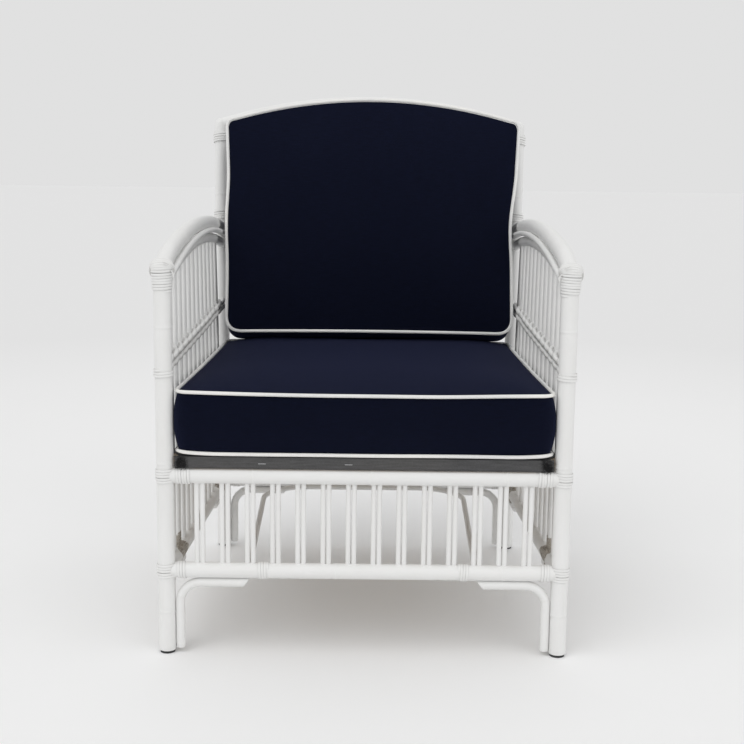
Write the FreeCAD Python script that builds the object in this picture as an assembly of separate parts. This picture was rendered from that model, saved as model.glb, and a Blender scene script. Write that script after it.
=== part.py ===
"""Rattan armchair: a painted pole frame with cane lashings and two loose boxed cushions.

Millimetres, +Z up, the chair faces -Y. The frame is laid out from the line between the
two front posts on the floor, and every piece is then moved so that the origin is the
middle of the chair's footprint.
"""
import FreeCAD, Part
import math
import os

# Posts
post_diameter = 28.0
front_post_spacing = 640.0
back_post_spacing = 590.0
post_line_depth = 586.0
front_post_height = 631.0
back_post_height = 867.0
back_rake_degrees = 9.5
back_splay_degrees = 1.0
back_bend_radius = 220.0

# Foot glides
glide_height = 5.0
glide_diameter = 24.0
glide_nail_diameter = 3.0
glide_nail_length = 18.0

# Rails
rail_diameter = 26.0
lower_rail_height = 140.0
upper_rail_height = 298.0
top_rail_rise = 47.0

# Dowels in the rail ends
dowel_diameter = 8.0
dowel_depth_in_post = 9.0
dowel_depth_in_rail = 26.0

# Paired spindles
spindle_diameter = 8.0
spindle_pair_spacing = 9.5
front_pairs = 14
side_pairs = 12
back_pairs = 13

# Arm poles
arm_pole_diameter = 28.0
arm_crest_rise = 49.0
arm_back_rise = 23.0
arm_nose_length = 70.0
arm_nose_rise = 22.0
under_pole_diameter = 19.0
under_pole_front_gap = 7.0
under_pole_crest_gap = 5.0
under_pole_back_gap = 5.0
filler_pole_diameter = 10.0
filler_to_arm_gap = 0.65
filler_to_under_gap = 7.3
filler_front_lift = 3.2
filler_back_dip = 4.5

# Twined band across the arm spindles
band_rod_diameter = 8.0
band_front_height = 482.0
band_back_height = 514.0
band_fit = 0.4
band_rod_gap = 0.2

# Corner brackets
bracket_diameter = 15.0
bracket_reach = 134.0
bracket_bend_radius = 34.0
bracket_foot_height = 9.0
bracket_fit = 0.3
bracket_slant_degrees = 38.0

# Nails through the brackets into the posts and rails
nail_diameter = 2.5
nail_head_diameter = 5.0
nail_head_height = 1.2
nail_bite = 9.0
nail_height_on_post = 48.0
nail_place_on_rail = 92.0

# Bent stretcher under the seat
stretcher_diameter = 10.0
stretcher_front_half_width = 185.0
stretcher_back_half_width = 199.0
stretcher_bend_radius = 90.0
stretcher_drop = 10.0
stretcher_fit = 0.3

# Seat panel with its stapled cloth
panel_thickness = 18.0
panel_front_overhang = 8.0
panel_fit = 0.2
panel_side_clearance = 2.0
panel_post_clearance = 6.0
panel_cloth_thickness = 1.5
panel_screw_diameter = 4.0
panel_screw_length = 32.0
panel_screw_head_diameter = 8.0
panel_screw_head_height = 3.0
panel_screw_shares = (-0.75, -0.25, 0.25, 0.75)
staple_wire = 1.2
staple_crown = 11.0
staple_leg = 7.0
front_staple_shares = (-0.52, -0.08)
edge_staple_shares = (-0.6, 0.05, 0.6)

# Cane lashings
cane_diameter = 4.0
cane_gap = 0.7
cane_fit = 0.2
coped_end_clearance = 0.3
arm_lashing_length = 38.5
ring_lashing_height = 463.0
ring_lashing_turns = 2.75
post_lashing_turns = 1.75
upper_rail_lashing_turns = 4.75
lower_rail_lashing_turns = 2.75
stretcher_lashing_turns = 3.0
back_top_lashing_turns = 4.5
arm_back_lashing_turns = 3.5
arm_back_lashing_clearance = 2.9
stretcher_lashing_pair = 3

# Both cushions
cloth_thickness = 1.2
piping_diameter = 6.0
piping_fit = 0.6
cushion_clearance = 0.3

# Seat cushion
seat_boxing_height = 100.5
seat_bottom_crown = 4.5
seat_top_crown = 14.0
seat_front_overhang = 14.6
seat_post_clearance = 0.8
seat_back_clearance = 3.0
seat_corner_radius = 18.0
seat_boxing_bulge = 7.0
seat_side_draw = 2.5
seat_back_narrowing = 18.2
seat_crown_inset = 120.0

# Back cushion
back_boxing_depth = 120.0
back_front_crown = 12.0
back_rear_crown = 6.0
back_side_clearance = 4.5
back_front_widening = 3.5
back_top_clearance = 4.0
back_arch_rise = 43.0
back_bottom_corner_radius = 38.0
back_top_corner_radius = 22.0
back_boxing_bulge = 4.0
back_bottom_bulge = 14.0
back_side_draw = 3.0
back_crown_inset = 110.0

# Shares of the crown's height and inset, from the piping to the flat middle
crown_inset_shares = (0.12, 0.42, 1.0)
crown_height_shares = (0.5, 0.86, 1.0)

# Rounding of a crown's corners, as a share of how far it is inset
crown_corner_share = 0.35

# Counts used while building
fit_passes = 6
gap_samples = 24

post_radius = post_diameter / 2
rail_radius = rail_diameter / 2
spindle_radius = spindle_diameter / 2
cane_pitch = cane_diameter + cane_gap
lashed_post_radius = post_radius + cane_fit + cane_diameter
lashed_rail_radius = rail_radius + cane_fit + cane_diameter
front_half = front_post_spacing / 2
back_half = back_post_spacing / 2
arm_radius = arm_pole_diameter / 2
under_radius = under_pole_diameter / 2
arm_crest_height = front_post_height + arm_crest_rise
arm_back_height = front_post_height + arm_back_rise
under_pole_front_height = front_post_height - arm_radius - under_pole_front_gap - under_radius
under_pole_crest_height = arm_crest_height - arm_radius - under_pole_crest_gap - under_radius
under_pole_back_height = arm_back_height - arm_radius - under_pole_back_gap - under_radius
rake = math.radians(back_rake_degrees)
splay = math.radians(back_splay_degrees)
panel_base = upper_rail_height + rail_radius + panel_fit
panel_top = panel_base + panel_thickness + panel_cloth_thickness
seat_base = panel_top + cushion_clearance
seat_low_seam = seat_base + seat_bottom_crown
seat_high_seam = seat_low_seam + seat_boxing_height
UP = FreeCAD.Vector(0, 0, 1)
RIGHT = FreeCAD.Vector(1, 0, 0)
BACK = FreeCAD.Vector(0, 1, 0)


def point(x, y, z):
    return FreeCAD.Vector(x, y, z)


def mirrored(shape):
    """The same piece on the chair's right side."""
    return shape.mirror(point(0, 0, 0), RIGHT)


def rod(start, end, diameter):
    """A straight round rod between two points."""
    along = end - start
    return Part.makeCylinder(diameter / 2, along.Length, start, along)


def tangent_arc(start, tangent, end):
    """The circular arc that leaves start along tangent and reaches end."""
    chord = end - start
    reach = chord.dot(chord) / (2 * chord.dot(tangent))
    corner = start + tangent * reach
    weight = chord.Length / (2 * reach)
    middle = (start + corner * (2 * weight) + end) * (1 / (2 + 2 * weight))
    return Part.Arc(start, middle, end).toShape()


def biarc(start, start_tangent, end, end_tangent):
    """Two arcs that join two points and keep the tangent at both."""
    chord = end - start
    tangents = start_tangent + end_tangent
    turn = 2 * (1 - start_tangent.dot(end_tangent))
    along = chord.dot(tangents)
    reach = (math.sqrt(along * along + turn * chord.dot(chord)) - along) / turn
    joint = (start + start_tangent * reach + end - end_tangent * reach) * 0.5
    first = tangent_arc(start, start_tangent, joint)
    joint_tangent = first.tangentAt(first.LastParameter)
    return [first, tangent_arc(joint, joint_tangent, end)]


def bent_path(points, radius):
    """Straight runs through the points, joined by tangent arcs of one radius."""
    edges = []
    here = points[0]
    for before, corner, after in zip(points, points[1:], points[2:]):
        arriving = (corner - before).normalize()
        leaving = (after - corner).normalize()
        half_turn = arriving.getAngle(leaving) / 2
        cut = radius * math.tan(half_turn)
        enter = corner - arriving * cut
        edges.append(Part.LineSegment(here, enter).toShape())
        here = corner + leaving * cut
        edges.append(tangent_arc(enter, arriving, here))
    edges.append(Part.LineSegment(here, points[-1]).toShape())
    return edges


def swept(edges, diameter):
    """A round pole or tube along a path of tangent lines and arcs."""
    start = edges[0].valueAt(edges[0].FirstParameter)
    tangent = edges[0].tangentAt(edges[0].FirstParameter)
    ring = Part.Wire(Part.makeCircle(diameter / 2, start, tangent))
    return Part.Wire(edges).makePipeShell([ring], True, False)


def lashing_length(turns):
    """How much of a pole a lashing of so many turns covers."""
    return turns * cane_pitch + cane_diameter


def lashing(foot, axis, side, core_diameter, turns):
    """One unbroken cane tube wound round a straight pole.

    foot is where the lashing begins on the pole's axis, and side is where its first
    turn starts. Each quarter turn of the helix is two tangent arcs, and both ends run
    straight for one cane diameter.
    """
    radius = core_diameter / 2 + cane_fit + cane_diameter / 2
    axis = axis * (1 / axis.Length)
    side = (side - axis * side.dot(axis)).normalize()
    across = axis.cross(side)
    steps = round(4 * turns)
    places = []
    tangents = []
    for step in range(steps + 1):
        angle = step * math.pi / 2
        outward = side * math.cos(angle) + across * math.sin(angle)
        forward = across * math.cos(angle) - side * math.sin(angle)
        climb = cane_diameter / 2 + cane_pitch * step / 4
        places.append(foot + outward * radius + axis * climb)
        tangents.append((forward * radius + axis * (cane_pitch / (2 * math.pi))).normalize())
    start = places[0] - tangents[0] * cane_diameter
    end = places[-1] + tangents[-1] * cane_diameter
    edges = [Part.LineSegment(start, places[0]).toShape()]
    for first in range(steps):
        edges += biarc(places[first], tangents[first], places[first + 1], tangents[first + 1])
    edges.append(Part.LineSegment(places[-1], end).toShape())
    return swept(edges, cane_diameter), least_gap(edges[1:-1])


def least_gap(edges):
    """The smallest clear distance between a lashing's neighbouring turns."""
    places = []
    for edge in edges:
        span = edge.LastParameter - edge.FirstParameter
        for sample in range(gap_samples):
            places.append(edge.valueAt(edge.FirstParameter + span * sample / gap_samples))
    per_turn = 8 * gap_samples
    least = None
    for first in range(0, len(places) - per_turn // 2, gap_samples // 4):
        for second in range(first + per_turn // 2, min(first + 3 * per_turn // 2, len(places))):
            apart = places[first].distanceToPoint(places[second])
            if least is None or apart < least:
                least = apart
    return least - cane_diameter


def back_post_point(height):
    """Centre of the left back post's raked part at a height."""
    rise = height - upper_rail_height
    return point(-back_half - rise * math.tan(splay), post_line_depth + rise * math.tan(rake), height)


def side_line_point(share, height):
    """A point over the left side rail, from the front post at 0 to the back post at 1."""
    x = -front_half + (front_half - back_half) * share
    return point(x, post_line_depth * share, height)


def arm_plane_point(share, height, inset):
    """A point in the left arm's upright plane, moved inward by inset."""
    back = back_post_point(arm_back_height)
    front = point(-front_half, 0, 0)
    along = point(back.x - front.x, back.y, 0)
    inward = point(along.y, -along.x, 0).normalize()
    return front + along * share + inward * inset + UP * height


def arm_panel_point(share, height, under_arc):
    """A point on the arm spindles' surface, between the side rail and the under pole."""
    foot = side_line_point(share, 0)
    head = arm_plane_point(foot.y / arm_plane_point(1, 0, 0).y, 0, 0)
    top = height_on_arc(under_arc, head)
    lean = (height - upper_rail_height) / (top - upper_rail_height)
    return foot + (head - foot) * lean + UP * height


def make_front_post():
    return rod(point(-front_half, 0, glide_height), point(-front_half, 0, front_post_height), post_diameter)


def make_back_post():
    """Upright to the seat, then raked back and slightly outward, with a round top."""
    foot = point(-back_half, post_line_depth, glide_height)
    bend = point(-back_half, post_line_depth, upper_rail_height)
    top = back_post_point(back_post_height)
    pole = swept(bent_path([foot, bend, top], back_bend_radius), post_diameter)
    return pole.fuse(Part.makeSphere(post_radius, top)).removeSplitter()


def make_glide(x, y):
    """A round glide with the nail that holds it in the post's end."""
    disc = rod(point(x, y, 0), point(x, y, glide_height), glide_diameter)
    nail = rod(point(x, y, glide_height / 2), point(x, y, glide_height + glide_nail_length), glide_nail_diameter)
    return disc.fuse(nail).removeSplitter()


def make_rail(start, end, meets):
    """A straight rail whose ends are coped to the pieces that it meets."""
    return rod(start, end, rail_diameter).cut(meets)


def make_dowel(post_axis, towards, from_surface):
    """A dowel along a rail, from inside the post into the rail's end."""
    direction = (towards - post_axis).normalize()
    start = post_axis + direction * (from_surface - dowel_depth_in_post)
    end = post_axis + direction * (from_surface + dowel_depth_in_rail)
    return rod(start, end, dowel_diameter)


def pair_shares(pairs, span, clear):
    """Places of evenly spaced pairs between two posts, as shares of the span."""
    pitch = (span - 2 * clear) / (pairs + 1)
    return [(clear + pitch * (pair + 1)) / span for pair in range(pairs)]


def make_straight_spindles(start, end, height_low, height_high, pairs):
    """Upright pairs of spindles between two level rails over the line start to end."""
    line = end - start
    direction = (end - start).normalize()
    rods = []
    for share in pair_shares(pairs, line.Length, post_radius):
        for offset in (-spindle_pair_spacing / 2, spindle_pair_spacing / 2):
            foot = start + line * share + direction * offset
            rods.append(rod(foot + UP * height_low, foot + UP * height_high, spindle_diameter))
    return Part.makeCompound(rods)


def height_on_arc(edge, place):
    """Height of an upright circular arc, crowned or sagging, above a point on the floor."""
    circle = edge.Curve
    level = point(place.x - circle.Center.x, place.y - circle.Center.y, 0).Length
    crowned = edge.CenterOfMass.z > circle.Center.z
    rise = math.sqrt(circle.Radius ** 2 - level ** 2)
    return circle.Center.z + (rise if crowned else -rise)


def make_arm_spindles(under_arc):
    """Pairs of spindles from the side rail up to the pole under the arm."""
    start = side_line_point(0, 0)
    line = side_line_point(1, 0) - start
    direction = point(line.x, line.y, 0).normalize()
    back = arm_plane_point(1, 0, 0)
    rods = []
    for share in pair_shares(side_pairs, line.Length, post_radius):
        for offset in (-spindle_pair_spacing / 2, spindle_pair_spacing / 2):
            foot = start + line * share + direction * offset
            head = arm_plane_point(foot.y / back.y, 0, 0)
            head = head + UP * height_on_arc(under_arc, head)
            rods.append(rod(foot + UP * upper_rail_height, head, spindle_diameter))
    return Part.makeCompound(rods)


def top_rail_arc():
    left = back_post_point(back_post_height)
    middle = back_post_point(back_post_height + top_rail_rise)
    return Part.Arc(left, point(0, middle.y, middle.z), point(-left.x, left.y, left.z)).toShape()


def make_back_spindles():
    """Pairs of spindles fanned from the back seat rail up to the arched top rail."""
    arc = top_rail_arc()
    foot_span = back_post_spacing
    head = back_post_point(back_post_height)
    rods = []
    for share in pair_shares(back_pairs, foot_span, post_radius):
        for offset in (-spindle_pair_spacing / 2, spindle_pair_spacing / 2):
            across = foot_span * (share - 0.5)
            foot = point(across + offset, post_line_depth, upper_rail_height)
            head_x = across * (head.x / -back_half) + offset
            height = math.sqrt(arc.Curve.Radius ** 2 - head_x ** 2) - arc.Curve.Radius
            crest = back_post_point(back_post_height + top_rail_rise)
            crest_height = crest.z + height * math.cos(rake)
            crest_depth = crest.y + height * math.sin(rake)
            rods.append(rod(foot, point(head_x, crest_depth, crest_height), spindle_diameter))
    return Part.makeCompound(rods)


def arm_arc(front_height, crest_height, back_height, inset):
    """An arc in the arm's plane from the front post's axis to the raked back post's."""
    front = arm_plane_point(0, front_height, inset)
    crest = arm_plane_point(0.5, crest_height, inset)
    back = arm_plane_point(back_post_point(back_height).y / back_post_point(arm_back_height).y, back_height, inset)
    return Part.Arc(front, crest, back).toShape()


def filler_place():
    """How far the filler pole lies inside and below the arm pole, in the corner of two poles."""
    apart = arm_crest_height - under_pole_crest_height
    to_arm = arm_radius + filler_pole_diameter / 2 + filler_to_arm_gap
    to_under = under_radius + filler_pole_diameter / 2 + filler_to_under_gap
    drop = (apart ** 2 + to_arm ** 2 - to_under ** 2) / (2 * apart)
    return math.sqrt(to_arm ** 2 - drop ** 2), drop


def make_arm_crown():
    """The arm pole's long arc, from the back post over the crest to the nose."""
    nose_share = arm_nose_length / (arm_plane_point(1, 0, 0) - arm_plane_point(0, 0, 0)).Length
    shoulder = arm_plane_point(nose_share, front_post_height + arm_nose_rise, 0)
    crest = arm_plane_point(0.5, arm_crest_height, 0)
    return Part.Arc(arm_plane_point(1, arm_back_height, 0), crest, shoulder).toShape()


def arm_lashing_foot():
    """Where the back post is clear of the arm pole, however steeply that leaves the post."""
    crown = make_arm_crown()
    leaving = crown.tangentAt(crown.FirstParameter)
    slope = max(leaving.z / math.hypot(leaving.x, leaving.y), 0)
    top = lashed_post_radius * slope + arm_radius * math.hypot(1, slope)
    return back_post_point(arm_back_height + top + arm_back_lashing_clearance)


def make_arm_pole():
    """The thick arm pole: one long arc that dips to a round nose on the front post."""
    crown = make_arm_crown()
    nose_tip = arm_plane_point(0, front_post_height, 0)
    shoulder = crown.valueAt(crown.LastParameter)
    nose = tangent_arc(shoulder, crown.tangentAt(crown.LastParameter), nose_tip)
    pole = swept([crown, nose], arm_pole_diameter)
    return pole.fuse(Part.makeSphere(arm_radius, nose_tip)).removeSplitter()


def make_band(under_arc, posts):
    """The twined band, plain: two rods on each side of the arm spindles."""
    offset = spindle_radius + band_rod_diameter / 2 + band_fit
    rods = []
    for side in (-offset, offset):
        for level in (-(band_rod_diameter + band_rod_gap) / 2, (band_rod_diameter + band_rod_gap) / 2):
            front = arm_panel_point(0, band_front_height + level, under_arc) + RIGHT * side
            back = arm_panel_point(1, band_back_height + level, under_arc) + RIGHT * side
            past = (back - front).normalize() * (2 * post_diameter)
            rods.append(rod(front, back + past, band_rod_diameter))
    band = Part.makeCompound(rods).cut(posts)
    return Part.makeCompound([solid for solid in band.Solids if solid.CenterOfMass.y < post_line_depth])


def bracket_corner(post_axis, direction):
    """Where a bracket's upright and level runs would meet, against its post and rail."""
    stand_off = post_radius + bracket_fit + bracket_diameter / 2
    hang = lower_rail_height - rail_radius - bracket_fit - bracket_diameter / 2
    return post_axis + direction * stand_off + UP * hang


def make_bracket(post_axis, direction):
    """A bent pole in the corner under a lower rail, its free end cut at a slant."""
    corner = bracket_corner(post_axis, direction)
    foot = point(corner.x, corner.y, bracket_foot_height)
    end = post_axis + direction * bracket_reach + UP * corner.z
    pole = swept(bent_path([foot, corner, end], bracket_bend_radius), bracket_diameter)
    sideways = direction.cross(UP) * bracket_diameter
    top = end + UP * (bracket_diameter / 2) - sideways
    past = direction * bracket_diameter
    deep = UP * (-2 * bracket_diameter)
    slant = deep - past * (2 * math.tan(math.radians(bracket_slant_degrees)))
    wedge = Part.Face(Part.makePolygon([top, top + past, top + past + deep, top + slant, top]))
    return pole.cut(wedge.extrude(sideways * 2))


def make_nail(head, target):
    """A nail whose flat head is at head and whose point stops at target."""
    along = (target - head).normalize()
    return rod(head, target, nail_diameter).fuse(rod(head, head + along * nail_head_height, nail_head_diameter))


def make_bracket_nails(post_axis, direction):
    """One nail through a bracket into its post, and one up into its rail."""
    corner = bracket_corner(post_axis, direction)
    level = post_axis + UP * nail_height_on_post
    outside = (corner - post_axis).dot(direction) + bracket_diameter / 2
    into_post = make_nail(level + direction * outside, level + direction * (post_radius - nail_bite))
    along = post_axis + direction * nail_place_on_rail
    under = along + UP * (corner.z - bracket_diameter / 2)
    into_rail = make_nail(under, along + UP * (lower_rail_height - rail_radius + nail_bite))
    return [into_post, into_rail]


def make_nails():
    nails = []
    for foot, direction in left_rail_ends():
        for nail in make_bracket_nails(foot, direction):
            nails += [nail.removeSplitter(), mirrored(nail.removeSplitter())]
    return Part.makeCompound(nails)


def make_stretcher():
    """A long bent pole in a level plane under the seat, its ends against the front rail's cane."""
    level = lower_rail_height - stretcher_drop
    apart = rail_radius + stretcher_diameter / 2 + stretcher_fit
    back = post_line_depth - math.sqrt(apart ** 2 - stretcher_drop ** 2)
    corners = [point(-stretcher_front_half_width, 0, level), point(-stretcher_back_half_width, back, level),
               point(stretcher_back_half_width, back, level), point(stretcher_front_half_width, 0, level)]
    rail_axis = UP * lower_rail_height
    room = rod(rail_axis - RIGHT * front_half, rail_axis + RIGHT * front_half,
               2 * (lashed_rail_radius + stretcher_fit))
    return swept(bent_path(corners, stretcher_bend_radius), stretcher_diameter).cut(room)


def panel_outline(grow, base):
    """The seat panel's plan, between the side spindles and on the front and back rails."""
    inward = spindle_radius + panel_side_clearance + panel_cloth_thickness - grow
    front = -panel_front_overhang - grow
    back = post_line_depth - inward
    slope = (front_half - back_half) / post_line_depth
    corners = []
    for y in (front, back):
        half = front_half - slope * y - inward
        corners.append((half, y))
    (front_x, front_y), (back_x, back_y) = corners
    plan = [point(-front_x, front_y, base), point(front_x, front_y, base),
            point(back_x, back_y, base), point(-back_x, back_y, base)]
    return Part.Face(Part.makePolygon(plan + plan[:1]))


def post_notches(clearance):
    """Upright cylinders that keep the seat panel clear of all four lashed posts."""
    notches = []
    for x, y in post_feet():
        radius = post_radius + clearance
        notches.append(Part.makeCylinder(radius, back_post_height, point(x, y, 0)))
    return notches


def post_feet():
    return [(-front_half, 0), (front_half, 0), (-back_half, post_line_depth), (back_half, post_line_depth)]


def lashed_rail_ends(grow):
    """Room for the cane round the upper rails' ends, under the seat panel."""
    reach = lashed_post_radius + cane_gap + lashing_length(upper_rail_lashing_turns) + grow
    rooms = []
    for foot, direction in left_rail_ends():
        start = foot + UP * upper_rail_height
        room = rod(start, start + direction * reach, 2 * (lashed_rail_radius + grow))
        rooms += [room, mirrored(room)]
    return rooms


def left_rail_ends():
    """Where each rail meets a left post: the post's axis and the rail's direction."""
    front = point(-front_half, 0, 0)
    back = point(-back_half, post_line_depth, 0)
    side = (back - front).normalize()
    return [(front, RIGHT), (back, RIGHT), (front, side), (back, -side)]


def make_panel():
    slab = panel_outline(0, panel_base).extrude(UP * panel_thickness)
    notches = post_notches(panel_post_clearance + panel_cloth_thickness)
    return slab.cut(notches + lashed_rail_ends(cane_gap))


def make_panel_cloth():
    """Cloth over the panel's top and edges, open underneath."""
    height = panel_thickness + panel_cloth_thickness
    block = panel_outline(panel_cloth_thickness, panel_base).extrude(UP * height)
    block = block.cut(post_notches(panel_post_clearance) + lashed_rail_ends(cane_gap))
    inner = panel_outline(0, panel_base).extrude(UP * panel_thickness)
    return block.cut(inner.cut(post_notches(panel_post_clearance + panel_cloth_thickness)))


def make_panel_screws():
    """Countersunk screws through the panel into the front rail."""
    screws = []
    top = panel_base + panel_thickness
    for share in panel_screw_shares:
        x = front_half * share
        shank = rod(point(x, 0, top - panel_screw_length), point(x, 0, top), panel_screw_diameter)
        head = Part.makeCone(panel_screw_diameter / 2, panel_screw_head_diameter / 2,
                             panel_screw_head_height, point(x, 0, top - panel_screw_head_height))
        screws.append(shank.fuse(head).removeSplitter())
    return Part.makeCompound(screws)


def make_staple():
    """A staple for the panel's front edge: a crown on the origin and two legs pointing back."""
    half = RIGHT * (staple_crown / 2)
    lift = BACK * (-staple_wire / 2)
    crown = rod(lift - half, lift + half, staple_wire)
    legs = []
    for side in (-1, 1):
        knee = half * side + lift
        legs.append(rod(knee, knee + BACK * staple_leg, staple_wire))
        inside = BACK - RIGHT * side
        ball = Part.makeSphere(staple_wire / 2, knee)
        ball.rotate(knee, UP, math.degrees(math.atan2(inside.y, inside.x)))
        legs.append(ball)
    return crown.fuse(legs).removeSplitter()


def make_staples():
    """Staples along the four edges of the cloth, half way up the panel."""
    height = panel_base + panel_thickness / 2
    face = panel_outline(panel_cloth_thickness, height)
    corners = [vertex.Point for vertex in face.OuterWire.OrderedVertexes]
    middle = face.CenterOfMass
    pattern = make_staple()
    staples = []
    for index, start in enumerate(corners):
        end = corners[(index + 1) % len(corners)]
        along = (end - start).normalize()
        outward = along.cross(UP)
        if outward.dot((start + end) * 0.5 - middle) < 0:
            outward = outward * -1
        shares = front_staple_shares if outward.y < -0.5 else edge_staple_shares
        for share in shares:
            place = (start + end) * 0.5 + (end - start) * (share / 2)
            if outward.y < -0.5 and along.x < 0:
                place = (start + end) * 0.5 - (end - start) * (share / 2)
            staple = pattern.copy()
            staple.rotate(point(0, 0, 0), UP, math.degrees(math.atan2(outward.x, -outward.y)))
            staple.translate(place)
            staples.append(staple)
    return Part.makeCompound(staples)


def outline(corners, radii, bows, place):
    """A closed outline of four bowed sides joined by rounded corners.

    corners are (u, v) pairs in order, radii are how far each corner is cut back, bows
    are how far each side stands out at its middle, and place turns (u, v) into a point.
    """
    flat = [point(u, v, 0) for u, v in corners]
    sides = []
    for index, start in enumerate(flat):
        end = flat[(index + 1) % 4]
        along = (end - start).normalize()
        first = start + along * radii[index]
        last = end - along * radii[(index + 1) % 4]
        middle = (first + last) * 0.5 + along.cross(UP) * bows[index]
        sides.append([place(one.x, one.y) for one in (first, middle, last)])
    arcs = [Part.Arc(*side).toShape() for side in sides]
    edges = []
    for index, arc in enumerate(arcs):
        after = arcs[(index + 1) % 4]
        edges.append(arc)
        edges += biarc(sides[index][2], arc.tangentAt(arc.LastParameter),
                       sides[(index + 1) % 4][0], after.tangentAt(after.FirstParameter))
    return Part.Wire(edges)


def loft(sections):
    return Part.makeLoft(sections, True, False)


def seat_outline(inset, bulge, height):
    """The seat cushion's plan at a height, inset from its seams or bulging past them."""
    edge = piping_diameter + piping_fit + inset - bulge
    front = edge - seat_front_overhang
    back = post_line_depth - post_radius - seat_back_clearance - edge
    front_x = front_half - post_radius - seat_post_clearance - edge
    back_x = front_x - seat_back_narrowing
    corners = [(-front_x, front), (front_x, front), (back_x, back), (-back_x, back)]
    radius = seat_corner_radius + crown_corner_share * inset
    draw = -seat_side_draw
    return outline(corners, [radius] * 4, [draw] * 4, lambda u, v: point(u, v, height))


def crown_sections(section, seam, direction, height, inset, skin):
    """Outlines from a seam to the flat middle of a crown, skin smaller for the filling."""
    wires = [section(skin, seam - direction * skin)]
    for inset_share, height_share in zip(crown_inset_shares, crown_height_shares):
        level = seam + direction * (height * height_share - skin)
        wires.append(section(inset * inset_share + skin, level))
    return wires


def make_seat_form(skin):
    """The seat cushion's form: bulging boxing between a low and a high crown."""
    middle = (seat_low_seam + seat_high_seam) / 2
    boxing = loft([seat_outline(skin, 0, seat_low_seam + skin),
                   seat_outline(skin, seat_boxing_bulge, middle),
                   seat_outline(skin, 0, seat_high_seam - skin)])

    def section(inset, level):
        return seat_outline(inset, 0, level)

    top = loft(crown_sections(section, seat_high_seam, 1, seat_top_crown, seat_crown_inset, skin))
    base = loft(crown_sections(section, seat_low_seam, -1, seat_bottom_crown, seat_crown_inset, skin))
    return boxing.fuse([top, base])


def seat_piping(height):
    path = seat_outline(-piping_diameter / 2 - piping_fit, 0, height)
    return swept(path.Edges, piping_diameter)


def back_place(across, up, forward):
    """A point given across, up and forward of the raked plane of the back posts."""
    y = post_line_depth + up * math.sin(rake) - forward * math.cos(rake)
    z = upper_rail_height + up * math.cos(rake) + forward * math.sin(rake)
    return point(across, y, z)


def back_seams():
    """How far the back cushion's rear and front seams stand off the raked plane."""
    rear = spindle_radius + cushion_clearance + back_rear_crown
    return rear, rear + back_boxing_depth


def back_outline(bottom, inset, bulge, forward):
    """The back cushion's outline at a distance forward, standing on bottom."""
    rear, front = back_seams()
    edge = piping_diameter + piping_fit + inset
    widening = back_front_widening * (forward - rear) / (front - rear)
    top_height = (back_post_height - upper_rail_height) / math.cos(rake)
    low = bottom + piping_diameter + piping_fit + inset - bulge * back_bottom_bulge
    high = top_height - rail_radius - back_top_clearance - edge + bulge * back_boxing_bulge
    low_x = back_half + low * math.tan(splay) - post_radius - back_side_clearance - edge + widening
    high_x = back_half + high * math.tan(splay) - post_radius - back_side_clearance - edge + widening
    low_x += bulge * back_boxing_bulge
    high_x += bulge * back_boxing_bulge
    corners = [(-low_x, low), (low_x, low), (high_x, high), (-high_x, high)]
    grow = crown_corner_share * inset
    radii = [back_bottom_corner_radius + grow] * 2 + [back_top_corner_radius + grow] * 2
    arch = back_arch_rise * (high_x - radii[2]) / back_half
    bows = [-back_side_draw, -back_side_draw, arch, -back_side_draw]
    return outline(corners, radii, bows, lambda u, v: back_place(u, v, forward))


def make_back_form(bottom, skin):
    """The back cushion's form, standing on its bulging underside."""
    rear, front = back_seams()
    boxing = loft([back_outline(bottom, skin, 0, rear + skin),
                   back_outline(bottom, skin, 1, (rear + front) / 2),
                   back_outline(bottom, skin, 0, front - skin)])

    def section(inset, forward):
        return back_outline(bottom, inset, 0, forward)

    face = loft(crown_sections(section, front, 1, back_front_crown, back_crown_inset, skin))
    rear_face = loft(crown_sections(section, rear, -1, back_rear_crown, back_crown_inset, skin))
    return boxing.fuse([face, rear_face])


def back_piping(bottom, forward):
    path = back_outline(bottom, -piping_diameter / 2 - piping_fit, 0, forward)
    return swept(path.Edges, piping_diameter)


def settle_back_cushion(seat_form):
    """Lower the back cushion's underside until it rests on the seat cushion."""
    seat_crown = seat_high_seam + seat_top_crown
    bottom = (seat_crown + back_bottom_bulge - upper_rail_height) / math.cos(rake)
    for turn in range(fit_passes):
        form = make_back_form(bottom, 0)
        gap = form.distToShape(seat_form)[0]
        bottom -= gap - cushion_clearance
    return bottom


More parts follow.
